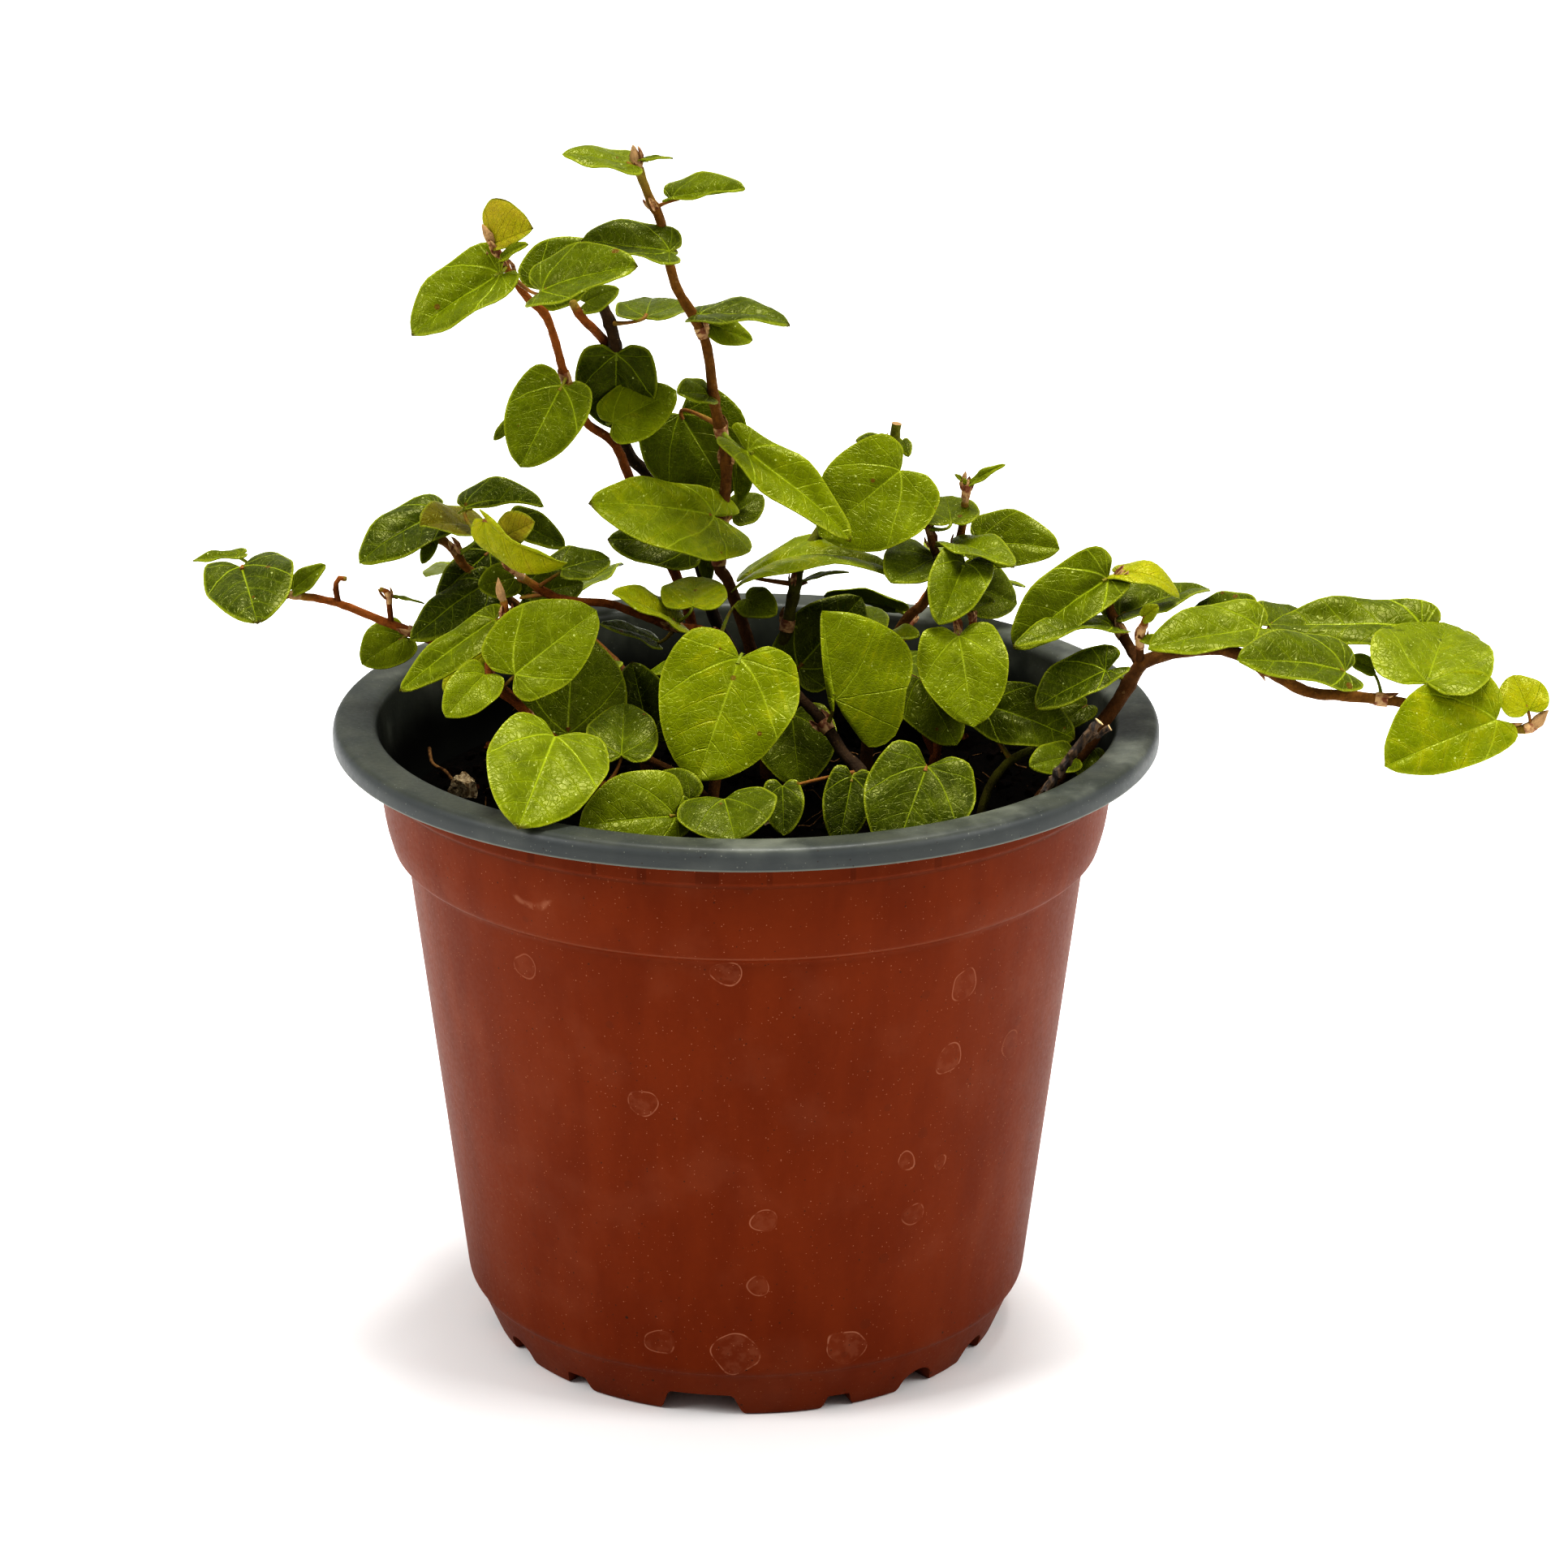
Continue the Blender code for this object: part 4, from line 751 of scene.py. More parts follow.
    LeafyStem("stem_front_left", Bark.REDDISH, [
        Shoot((0.9, 0.5), [
            (-20, -16, 72.5), (-20, -16, 84), (-24, -18.5, 93.5), (-29.5, -20, 99.2),
            (-31.9, -20, 102.1), (-35, -20, 104.9), (-36.3, -18, 107), (-35.5, -15.5, 110),
            (-34, -13, 113.4), (-34.8, -12.6, 117), (-35, -12.6, 118.8),
        ]),
    ], [
        Leaf((-32.4, -21.4, 107.2), (-21.1, -14, 114.4), (0, 34), (0.50, 0.38), 5, 12, 0.5),
        Leaf((-36.7, -21.4, 107.2), (-41.8, -28, 103.1), (0, 36), (0.42, 0.36), 10, 12, 0.5),
        Leaf((-35.6, -11.5, 112.2), (-48.8, -20, 104.4), (0, 62), (0.24, 0.16), 12, 12, 0.54),
        Leaf((-37, -10, 106.6), (-43.1, -12.6, 101.6), (0, 62), (0.36, 0.36), 8, 10, 0.2),
        Leaf((-26.3, -36, 102.9), (-30.7, -53, 95.7), (4, 34), (0.46, 0.42), 6, 8, 0.45),
    ]),
    LeafyStem("stem_centre", Bark.BROWN, [
        Shoot((0.95, 0.7), [
            (-5, -17, 72.5), (-5, -17, 83), (-4, -15, 92), (-2, -12, 100), (-1, -10, 105),
        ]),
        Shoot((0.75, 0.55), [(-5, -17, 82), (-11, -20, 88), (-19, -24, 91.5), (-23, -27, 93)]),
        Shoot((0.7, 0.5), [(-4.6, -16, 86), (-10, -14, 90), (-17, -13, 93), (-22, -12.6, 94.6)]),
    ], [
        Leaf((-0.9, -15, 107.6), (-7, -25, 92.6), (0, 30), (0.53, 0.51), 5, 10, 0.45, lobe=1.2),
        Leaf((-25.4, -14, 96.1), (-24.7, -4, 108.4), (0, 30), (0.44, 0.52), 6, 10, 0.68),
        Leaf((-17.5, -24, 96.1), (-17.3, -13.6, 100.4), (0, 46), (0.46, 0.45), 6, 10, 0.72),
        Leaf((-9.8, -36, 91.4), (-23, -40, 91.3), (0, 42), (0.27, 0.52), 6, 8, 0.56),
        Leaf((-3, -34, 93.1), (-1.4, -42, 89.8), (0, 40), (0.80, 0.80), 6, 8, 0.64),
        Leaf((-7.9, -28, 91), (-12.9, -24.4, 93.3), (0, 34), (0.56, 0.50), 6, 8, 0.7),
        Leaf((-13.9, -9, 94.2), (-16.5, -4, 103.6), (0, 30), (0.40, 0.40), 6, 10, 0.82),
    ]),
    LeafyStem("stem_front", Bark.DARK, [
        Shoot((1.2, 0.7), [
            (18, -20.5, 72.5), (18, -20.5, 83), (17.4, -19.4, 88), (15.9, -17, 91.8),
            (14.1, -15, 93), (12.2, -12, 95.3), (9.7, -10, 98), (7.4, -8, 99.8), (5.5, -5.5, 101.5),
        ]),
    ], [
        Leaf((12.6, -13, 100.8), (10.8, -8, 112.5), (0, 28), (0.08, 0.92), 6, 8, 0.45, lobe=4.5),
        Leaf((25.4, -25, 94.9), (20.4, -34.6, 84.6), (0, 34), (0.56, 0.50), 6, 10, 0.80, lobe=1.4),
        Leaf((15, -21, 92), (13, -27.5, 83.6), (0, 30), (0.32, 0.32), 6, 8, 0.85),
        Leaf((6.6, -5, 96), (7.7, -13, 87.6), (0, 34), (0.54, 0.54), 6, 12, 0.66),
        Leaf((5.1, -28, 93), (5.3, -33, 87.4), (0, 34), (0.40, 0.40), 6, 10, 0.82),
    ]),
    LeafyStem("stem_middle", Bark.OLIVE, end=End.CUT, shoots=[
        Shoot((1.0, 0.7), [
            (7, 11, 72.5), (7, 11, 84), (5.8, 9, 95), (5.4, 8, 101.7), (6.3, 8, 106.7),
            (7, 8, 110.4), (7.8, 8.4, 114.1), (10.7, 11, 118.8), (16.5, 13, 126.4), (20.9, 13.4, 130),
            (21.9, 13, 134.4),
        ]),
    ], leaves=[
        Leaf((0.6, 7, 113.4), (22.2, 5, 113.5), (0, 86), (0.28, 0.28), 3, 72, 0.44),
        Leaf((8, 9.5, 111.5), (15.1, 10.5, 112.8), (0, 104), (0.22, 0.22), 5, 24, 0.75),
        Leaf((21.2, 14.6, 130.8), (15.9, 13, 131.8), (0, 70), (0.34, 0.34), 12, 20, 0.7),
        Leaf((22.8, 15, 131.3), (23.6, 12.4, 129.6), (10, 60), (0.34, 0.34), 12, 20, 0.6),
        Leaf((7.7, 6, 99.5), (17, 12, 108.5), (0, 26), (0.40, 0.42), 6, 8, 0.8),
        Leaf((17.6, 12, 103.8), (19.6, 18, 105), (0, 40), (0.44, 0.44), 6, 8, 0.6),
    ]),
    LeafyStem("stem_right", Bark.BROWN, [
        Shoot((1.1, 0.5), [
            (18, 13, 72.5), (18, 13, 84), (20, 11.5, 97), (23.3, 10, 105.4), (26.2, 10, 108.3),
            (28.5, 10, 113.5), (31.1, 10, 117.8), (31.9, 9, 125), (32.3, 9, 127.2),
        ]),
        Shoot((0.7, 0.4), [(28.2, 10, 114), (27, 8.5, 118), (26.3, 7.8, 121)]),
    ], [
        Leaf((32.8, 8.8, 126.8), (37.4, 7.6, 129.8), (0, 60), (0.16, 0.16), 14, 10, 0.5),
        Leaf((31.8, 8.8, 126.8), (30.2, 8, 128.2), (0, 40), (0.18, 0.18), 0, 0, 0.4),
        Leaf((22.3, 8, 128.7), (10.6, 3.6, 120.1), (0, 34), (0.61, 0.50), 5, 14, 0.55, lobe=1.3),
        Leaf((29.7, 6, 121.6), (29.2, 13, 123.4), (0, 60), (0.62, 0.60), 6, 10, 0.55),
        Leaf((34, 14, 116.3), (45.8, 10.4, 116.3), (0, 40), (0.42, 0.32), 6, 12, 0.56),
        Leaf((30.2, 6.5, 118.2), (38.5, -1.4, 117), (0, 84), (0.34, 0.34), 14, 18, 0.5),
        Leaf((31.6, 3, 116.4), (27.6, -7, 110), (0, 40), (0.40, 0.34), 20, 14, 0.62),
        Leaf((27.2, 6.2, 115.9), (20.8, -1.2, 114.6), (0, 60), (0.37, 0.56), 8, 14, 0.68),
        Leaf((32.4, 14, 110), (40, 16.5, 106), (0, 36), (0.50, 0.50), 6, 12, 0.66),
    ]),
    LeafyStem("stem_right_short", Bark.REDDISH, [
        Shoot((0.9, 0.55), [
            (27, -1, 72.5), (27, -1, 84), (29, 0.5, 95), (30.8, 2.5, 104), (30.4, 3.4, 107.6),
        ]),
        Shoot((0.7, 0.5), [(29.2, 0.8, 96), (32, 3.5, 102), (33, 5, 107), (32.6, 5, 108.6)]),
        Shoot((0.6, 0.45), [(27.6, -0.6, 88), (23.5, 0.8, 97), (20.9, 1.8, 104)]),
    ], [
        Leaf((30.5, -6, 108), (32.4, -15, 97.3), (2, 30), (0.46, 0.47), 6, 10, 0.52),
        Leaf((25, -3.4, 100.9), (30.2, -11, 93.2), (0, 34), (0.36, 0.42), 6, 10, 0.6),
        Leaf((32.7, 3.4, 110), (35.9, 1.4, 111), (0, 60), (0.42, 0.42), 8, 10, 0.45),
        Leaf((20.9, 1, 105.4), (25, -2, 106.8), (0, 66), (0.44, 0.44), 16, 20, 0.4),
    ]),
    LeafyStem("stem_right_low", Bark.OLIVE, [
        Shoot((0.8, 0.5), [
            (34, -10, 72.5), (34, -10, 83), (37, -8.6, 89), (42, -6.4, 91.4), (46.5, -5, 91.6),
        ]),
    ], [
        Leaf((34.6, -6, 97.8), (47.1, -12, 94.6), (0, 46), (0.36, 0.36), 6, 8, 0.65),
        Leaf((49.4, -1.6, 96.2), (44.9, -4.4, 93.6), (0, 60), (0.42, 0.42), 6, 8, 0.65),
    ]),
    LeafyStem("stem_right_long", Bark.BROWN, [
        Shoot((1.25, 0.6), [
            (41, -13, 72.5), (41, -13, 83), (46.4, -12, 90.4), (51.6, -10.6, 97.4), (53.5, -10, 100),
            (55.3, -9, 103), (56.6, -8, 104.5), (58.6, -8, 105.5), (62.9, -8, 106.5), (69.9, -8, 106.2),
            (79.8, -9, 100.9), (86.2, -10, 100.4), (93.8, -11, 99.7), (102.1, -12, 98.3),
            (110.7, -13, 96.3), (114.4, -13, 99.2),
        ]),
        Shoot((0.9, 0.5), [
            (56.6, -8, 104.3), (54.9, -5, 106.4), (53.6, -3, 108.4), (52.3, -1, 111.2),
            (53, -1, 114), (54, -1, 115.6),
        ]),
        Shoot((0.6, 0.4), [
            (56.4, -8, 104.4), (56.2, -9, 108.2), (56.5, -9.4, 110.7), (57, -9.4, 112.6),
        ]),
    ], [
        Leaf((52, -1, 115.3), (38.3, -5, 106), (0, 47), (0.28, 0.35), 22, 8, 0.55),
        Leaf((52.6, -4, 108.8), (38, -10.6, 107.9), (0, 88), (0.22, 0.22), 12, 30, 0.6),
        Leaf((53.6, 0, 115.8), (62.3, -2, 112.5), (0, 79), (0.34, 0.34), 4, 70, 0.25),
        Leaf((53.9, -1, 109.8), (67.6, 8, 111.1), (0, 80), (0.27, 0.30), 20, 10, 0.7),
        Leaf((56.6, -9.6, 112), (58.6, -10.6, 114), (0, 40), (0.42, 0.42), 8, 5, 0.3),
        Leaf((56.6, -9.8, 108.8), (59.4, -11, 108.8), (0, 60), (0.32, 0.32), 8, 5, 0.45),
        Leaf((51.3, -10, 104.1), (41.2, -12, 99.2), (0, 60), (0.28, 0.43), 12, 8, 0.74, lobe=2.2),
        Leaf((72.1, 0.5, 109.8), (65.3, 6, 108.8), (0, 48), (0.44, 0.36), 6, 8, 0.72),
        Leaf((73.3, -7.5, 109.8), (57, -13, 108.4), (0, 66), (0.26, 0.34), 8, 10, 0.55),
        Leaf((75.4, -1.6, 108.4), (80.4, 6, 108.6), (0, 60), (0.44, 0.44), 6, 8, 0.6),
        Leaf((97.8, 0, 107.6), (75.6, 0, 107.9), (0, 66), (0.26, 0.25), 7, 9, 0.6),
        Leaf((85.4, -11.4, 104.7), (69.3, -16.4, 107.9), (0, 62), (0.28, 0.36), 8, 14, 0.65),
        Leaf((97, -12, 103.2), (101.6, 2, 107.4), (0, 58), (0.60, 0.56), 6, 14, 0.5),
        Leaf((103.4, 4, 104.5), (106.6, 2, 104.8), (0, 45), (0.36, 0.36), 6, 5, 0.4),
        Leaf((106.8, -14, 98), (90.6, -18.4, 92.6), (0, 34), (0.28, 0.50), 5, 10, 0.42),
        Leaf((111.5, -13, 99.2), (109.9, -8, 102.8), (0, 40), (0.60, 0.56), 8, 8, 0.3),
        Leaf((90.3, -5, 102.8), (86.7, -4, 104.3), (0, 50), (0.40, 0.40), 6, 5, 0.5),
        Leaf((46.4, -14.4, 92.8), (40.2, -18.4, 92.6), (0, 50), (0.40, 0.40), 6, 8, 0.66),
        Leaf((49.8, -10.4, 92.4), (47.4, -14.4, 89.8), (0, 46), (0.40, 0.40), 6, 8, 0.66),
    ]),
    LeafyStem("stem_back_left", Bark.BROWN, [
        Shoot((0.85, 0.5), [
            (-14, 33, 72.5), (-14, 33, 83), (-20, 38, 90), (-30, 43, 98), (-38, 45, 102),
        ]),
    ], [
        Leaf((-12, 36, 89), (-2, 44, 88), (150, 60), (0.46, 0.46), 7, 16, 0.6),
        Leaf((-22, 36, 91), (-33, 29, 89), (-60, 70), (0.44, 0.44), 7, 18, 0.65),
        Leaf((-27, 44, 99.6), (-20, 54, 101), (180, 62), (0.46, 0.46), 7, 16, 0.55),
        Leaf((-38, 44, 103), (-42, 31, 103), (-80, 62), (0.44, 0.44), 7, 18, 0.6),
        Leaf((-40, 46.5, 102.4), (-50, 53, 99.6), (-150, 60), (0.44, 0.44), 7, 20, 0.5),
    ]),
    LeafyStem("stem_back_right", Bark.REDDISH, [
        Shoot((0.85, 0.5), [
            (19, 32, 72.5), (19, 32, 83), (22, 37, 90), (27, 45, 97.6), (33, 53, 101.4),
        ]),
    ], [
        Leaf((17, 33, 90), (5, 31, 91), (180, 66), (0.46, 0.46), 7, 16, 0.62),
        Leaf((23, 35, 91), (35, 30, 89.6), (60, 64), (0.46, 0.46), 7, 18, 0.66),
        Leaf((24, 43, 97), (12, 47, 98), (180, 58), (0.44, 0.44), 7, 18, 0.55),
        Leaf((31, 47, 100.4), (43, 43, 100.8), (120, 62), (0.46, 0.46), 7, 18, 0.6),
        Leaf((33.6, 55, 102.4), (35, 68, 98.4), (170, 50), (0.46, 0.46), 7, 22, 0.48),
    ]),
]


def spun(profile: Iterable, steps: int) -> bmesh.types.BMesh:
    """Spin (radius, height) points round the pot's axis into one mesh."""
    bm = bmesh.new()
    verts = [bm.verts.new((radius, 0.0, height)) for radius, height in profile]
    edges = [bm.edges.new(pair) for pair in zip(verts, verts[1:])]
    bmesh.ops.spin(
        bm, geom=verts + edges, cent=(0, 0, 0), axis=(0, 0, 1), angle=math.tau, steps=steps,
        use_merge=True)
    bmesh.ops.remove_doubles(bm, verts=bm.verts, dist=0.005)
    return bm


@dataclass
class Pot:
    """The two-layer nursery pot: a turned shell with a notched foot and drain holes."""

    steps: int = 192
    # Corners of the wall from the middle of the underside round to the floor inside:
    # radius, height and rounding
    corners: tuple = (
        (0.0, 0.0, 0.0), (8.0, 0.0, 0.5), (8.6, 4.0, 0.5), (30.0, 4.0, 0.5), (30.8, 0.0, 0.4),
        (37.8, 0.0, 0.7), (41.0, 7.6, 0.8), (41.9, 8.4, 1.0), (49.7, 75.1, 0.9), (51.6, 76.1, 0.55),
        (52.7, 80.0, 2.5), (53.5, 87.3, 0.25), (54.0, 87.8, 0.25), (54.3, 93.4, 0.5), (58.7, 93.9, 0.4),
        (59.2, 91.8, 0.2), (60.0, 91.8, 0.3), (60.0, 93.9, 0.9), (59.2, 95.0, 0.9), (54.6, 94.8, 1.0),
        (53.6, 94.2, 0.8), (51.9, 80.6, 3.0), (48.9, 74.9, 3.0), (41.0, 8.6, 2.0), (37.4, 4.8, 1.5),
        (0.0, 4.8, 0.0),
    )
    sectors: int = 3
    sector_start: float = -9.7
    # Angle from the sector's middle, half width and height of each notch
    notches: tuple = (
        (0.0, 8.7, 3.8), (-30.0, 3.2, 2.5), (30.0, 3.2, 2.5), (-50.0, 4.6, 3.5), (50.0, 4.6, 3.5),
    )
    arched: tuple = (-50.0, 50.0)
    # A notch's tool: where it starts from the axis and its depth, its flare at the foot, the turns
    # of an arch and the half width of its top, and the width and drop of a tapered one's corners
    notch_start: float = 29.4
    notch_depth: float = 14.0
    flare: float = 0.9
    overlap: float = 0.6
    arch_turns: tuple = (0.5, 0.9, 1.25)
    arch_top: float = 0.12
    taper: tuple = ((0.86, 0.5), (0.76, 0.0))
    foot_radius: float = 37.8
    drain_holes: int = 6
    drain_radius: float = 2.5
    drain_circle: float = 20.0
    first_hole: float = 15.0
    # Where the grey layer shows: above the seam, on the flange, and up to the skin inside the wall
    liner_corner: int = 14
    seam_height: float = 93.75
    flange_foot: float = 91.0
    skin: float = 0.3
    floor_top: float = 4.6
    floor_radius: float = 38.0

    def profile(self) -> list:
        """Return the wall's corners with their roundings, as (radius, height) points."""
        corners = [Vector((radius, height)) for radius, height, _ in self.corners]
        points = [corners[0]]
        for index in range(1, len(corners) - 1):
            before, corner, after = corners[index - 1:index + 2]
            size = self.corners[index][2]
            start = corner + (before - corner).normalized() * min(size, 0.45 * (before - corner).length)
            end = corner + (after - corner).normalized() * min(size, 0.45 * (after - corner).length)
            for step in range(5):
                share = step / 4
                points.append(start.lerp(corner, share).lerp(corner.lerp(end, share), share))
        points.append(corners[-1])
        return points

    def turned_shell(self) -> bpy.types.Object:
        """Spin the wall's profile into a closed shell."""
        bm = spun(self.profile(), self.steps)
        bmesh.ops.recalc_face_normals(bm, faces=bm.faces)
        return object_from(bm, "pot_shell", [], 35.0)

    def notch_cutter(self, azimuth: float, half_angle: float, height: float,
                     arched: bool) -> bpy.types.Object:
        """Make the tool that cuts one notch: tapered, or arched at its top."""
        half = self.foot_radius * math.sin(math.radians(half_angle))
        side = [(half + self.flare, -self.overlap), (half, self.flare)]
        if arched:
            for turn in self.arch_turns:
                up = self.flare + (height - self.flare) * math.sin(turn)
                side.append((half * math.cos(turn), up))
            side.append((self.arch_top * half, height))
        else:
            side += [(share * half, height - drop) for share, drop in self.taper]
        section = side + [(-across, up) for across, up in reversed(side)]
        turn = Matrix.Rotation(math.radians(azimuth), 4, "Z")
        bm = bmesh.new()
        verts = [bm.verts.new((across, -self.notch_start, up)) for across, up in section]
        grown = bmesh.ops.extrude_face_region(bm, geom=[bm.faces.new(verts)])
        moved = [item for item in grown["geom"] if isinstance(item, bmesh.types.BMVert)]
        bmesh.ops.translate(bm, verts=moved, vec=(0.0, -self.notch_depth, 0.0))
        bmesh.ops.transform(bm, matrix=turn, verts=bm.verts)
        bmesh.ops.recalc_face_normals(bm, faces=bm.faces)
        return object_from(bm, "notch_cutter", [], 35.0)

    def drain_cutter(self, azimuth: float) -> bpy.types.Object:
        """Make the tool that cuts one drain hole through the floor."""
        turn = Matrix.Rotation(math.radians(azimuth), 4, "Z")
        place = turn @ Matrix.Translation((0.0, -self.drain_circle, 0.0))
        bm = bmesh.new()
        bmesh.ops.create_cone(
            bm, cap_ends=True, segments=24, radius1=self.drain_radius, radius2=self.drain_radius,
            depth=12.0, matrix=place)
        return object_from(bm, "drain_cutter", [], 35.0)

    def build(self, shell: bpy.types.Material, liner: bpy.types.Material) -> bpy.types.Object:
        """Build the pot as one piece that stands for its solid.

        Args:
            shell: material of the outer layer.
            liner: material of the inner layer and the rim.

        Returns:
            The finished piece.
        """
        pot = self.turned_shell()
        cutters = []
        for sector in range(self.sectors):
            middle = self.sector_start + sector * 360.0 / self.sectors
            for offset, half_angle, height in self.notches:
                arched = offset in self.arched
                cutters.append(self.notch_cutter(middle + offset, half_angle, height, arched))
        for index in range(self.drain_holes):
            cutters.append(self.drain_cutter(self.first_hole + index * 360.0 / self.drain_holes))
        cut_all(pot, cutters)
        pot.data.materials.append(shell)
        pot.data.materials.append(liner)
        for face in pot.data.polygons:
            face.material_index = int(self.is_liner(face.center / MM))
        pot.data.shade_smooth()
        pot.data.set_sharp_from_angle(angle=math.radians(38))
        pot.name = "two_layer_pot"
        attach(pot, "root")
        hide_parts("pot")
        return pot

    def is_liner(self, place: Vector) -> bool:
        """Say whether a place of the wall is on the grey inner layer or the rim."""
        reach = math.hypot(place.x, place.y)
        if place.z > self.seam_height:
            return True
        if reach > self.corners[self.liner_corner][0] - 0.2:
            return place.z > self.flange_foot
        inner = [(radius, height) for radius, height, _ in self.corners[19:25]]
        for (top_r, top_z), (low_r, low_z) in zip(inner, inner[1:]):
            if low_z <= place.z <= top_z:
                share = (place.z - low_z) / (top_z - low_z)
                return reach < low_r + (top_r - low_r) * share + self.skin
        return place.z > self.floor_top and reach < self.floor_radius


def cut_all(target: bpy.types.Object, cutters: list) -> None:
    """Cut every tool out of a target, then remove the tools."""
    group = bpy.data.collections.new("cutters")
    bpy.context.scene.collection.children.link(group)
    for cutter in cutters:
        bpy.context.scene.collection.objects.unlink(cutter)
        group.objects.link(cutter)
    step = target.modifiers.new("cut", "BOOLEAN")
    step.operation = "DIFFERENCE"
    step.solver = "EXACT"
    step.operand_type = "COLLECTION"
    step.collection = group
    graph = bpy.context.evaluated_depsgraph_get()
    mesh = bpy.data.meshes.new_from_object(target.evaluated_get(graph))
    target.modifiers.clear()
    target.data = mesh
    for cutter in cutters:
        bpy.data.objects.remove(cutter, do_unlink=True)
    bpy.data.collections.remove(group)


@dataclass
class Soil:
    """The plug of potting mix, with what lies on it."""

    steps: int = 150
    side: tuple = ((0.0, 5.2), (37.1, 5.2), (40.5, 8.9), (48.4, 74.8), (50.7, 79.3))
    top_radius: float = 50.7
    top_height: float = 80.2
    rings: int = 62
    bump: float = 0.9
    # Unevenness of the top: height in mm and pitch
    unevenness: tuple = ((1.3, 0.35), (0.8, 0.9), (0.45, 2.1))
    edge_drop: float = 0.5
    rim_room: float = 2.5
    crumbs: int = 900
    grains: int = 16
    bark_bits: int = 46
    # A lump: pitch and depth of its roughness, the power that makes small ones common, how high it
    # lies as a share of its radius, and its most tilt
    lump_pitch: float = 2.3
    lump_depth: float = 0.55
    small_power: float = 2.2
    lump_lift: float = 0.25
    most_tilt: float = 0.5
    # A root: steps, most turn at each in radians, their length and most lift in mm, and its radii
    roots: int = 46
    root_steps: int = 6
    root_turn: float = 0.7
    root_step: float = 1.7
    root_lift: float = 0.7
    root_radii: tuple = (0.07, 0.17)
    # The pale lump and the root seen inside the rim at the left: place and radius, and route
    seen_lump: tuple = ((-41.9, 5.2), 1.9)
    seen_root: tuple = ((-47.2, 13.5, 84.6), (-46.6, 11, 83.0), (-44.6, 8.6, 82.6), (-43.4, 6.4, 82.0))

    def height(self, x: float, y: float) -> float:
        """Return the height of the soil's top at a place, in mm."""
        reach = min(1.0, math.hypot(x, y) / self.top_radius)
        swell = math.sin(0.19 * x + 0.7) * math.cos(0.23 * y)
        ripple = math.sin(0.41 * x - 0.33 * y)
        broad = self.bump * (0.6 * swell + 0.4 * ripple) * (1 - reach ** 4)
        spot = Vector((x, y, 3.0))
        fine = sum(height * noise.noise(spot * pitch) for height, pitch in self.unevenness)
        return self.top_height + broad + fine * (1 - reach ** 10) - self.edge_drop * reach ** 4

    def build(self, earth_with_painted_shade: bpy.types.Material) -> bpy.types.Object:
        """Build the plug itself, with its uneven top."""
        shares = [1 - ring / self.rings for ring in range(1, self.rings)] + [0.0]
        top = [(self.top_radius * share, self.top_height) for share in shares]
        bm = spun((*self.side, *top), self.steps)
        for vert in bm.verts:
            if vert.co.z >= self.top_height - 0.1:
                vert.co.z = self.height(vert.co.x, vert.co.y)
        bmesh.ops.recalc_face_normals(bm, faces=bm.faces)
        piece = object_from(bm, "potting_soil", [earth_with_painted_shade], 80.0)
        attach(piece, "root")
        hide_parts("soil")
        return piece

    def spot(self, source: random.Random, lift: float) -> Vector:
        """Draw a random place on the soil's top."""
        reach = (self.top_radius - self.rim_room) * math.sqrt(source.random())
        turn = source.uniform(0, math.tau)
        x, y = reach * math.cos(turn), reach * math.sin(turn)
        return Vector((x, y, self.height(x, y) + lift))

    def lump(self, bm: bmesh.types.BMesh, place: Matrix, radius: float, fineness: int) -> None:
        """Add one rough lump."""
        made = bmesh.ops.create_icosphere(bm, subdivisions=fineness, radius=radius, matrix=place)
        for vert in made["verts"]:
            shift = noise.noise_vector(vert.co * self.lump_pitch / fineness)
            vert.co += shift * radius * self.lump_depth

    def scatter(self, name: str, count: int, size: tuple, squash: tuple, look: bpy.types.Material,
                seed: int, seen: tuple = ()) -> bpy.types.Object:
        """Lay rough lumps on the soil as one piece.

        Args:
            name: name of the piece.
            count: number of lumps.
            size: least and greatest radius, in mm.
            squash: scale of a lump along its own three axes.
            look: its material.
            seed: seed of the random draws.
            seen: place and radius of one more lump, if there is one.

        Returns:
            The finished piece.
        """
        source = random.Random(seed)
        bm = bmesh.new()
        for _ in range(count):
            radius = size[0] + (size[1] - size[0]) * source.random() ** self.small_power
            turn = Matrix.Rotation(source.uniform(0, math.tau), 4, "Z")
            tilt = Matrix.Rotation(source.uniform(-self.most_tilt, self.most_tilt), 4, "X")
            place = Matrix.Translation(self.spot(source, self.lump_lift * radius)) @ turn @ tilt
            self.lump(bm, place @ Matrix.Diagonal((*squash, 1.0)), radius, 1)
        if seen:
            (x, y), radius = seen
            self.lump(bm, Matrix.Translation((x, y, self.height(x, y) + 0.4 * radius)), radius, 3)
        piece = object_from(bm, name, [look], 30.0)
        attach(piece, "root")
        return piece

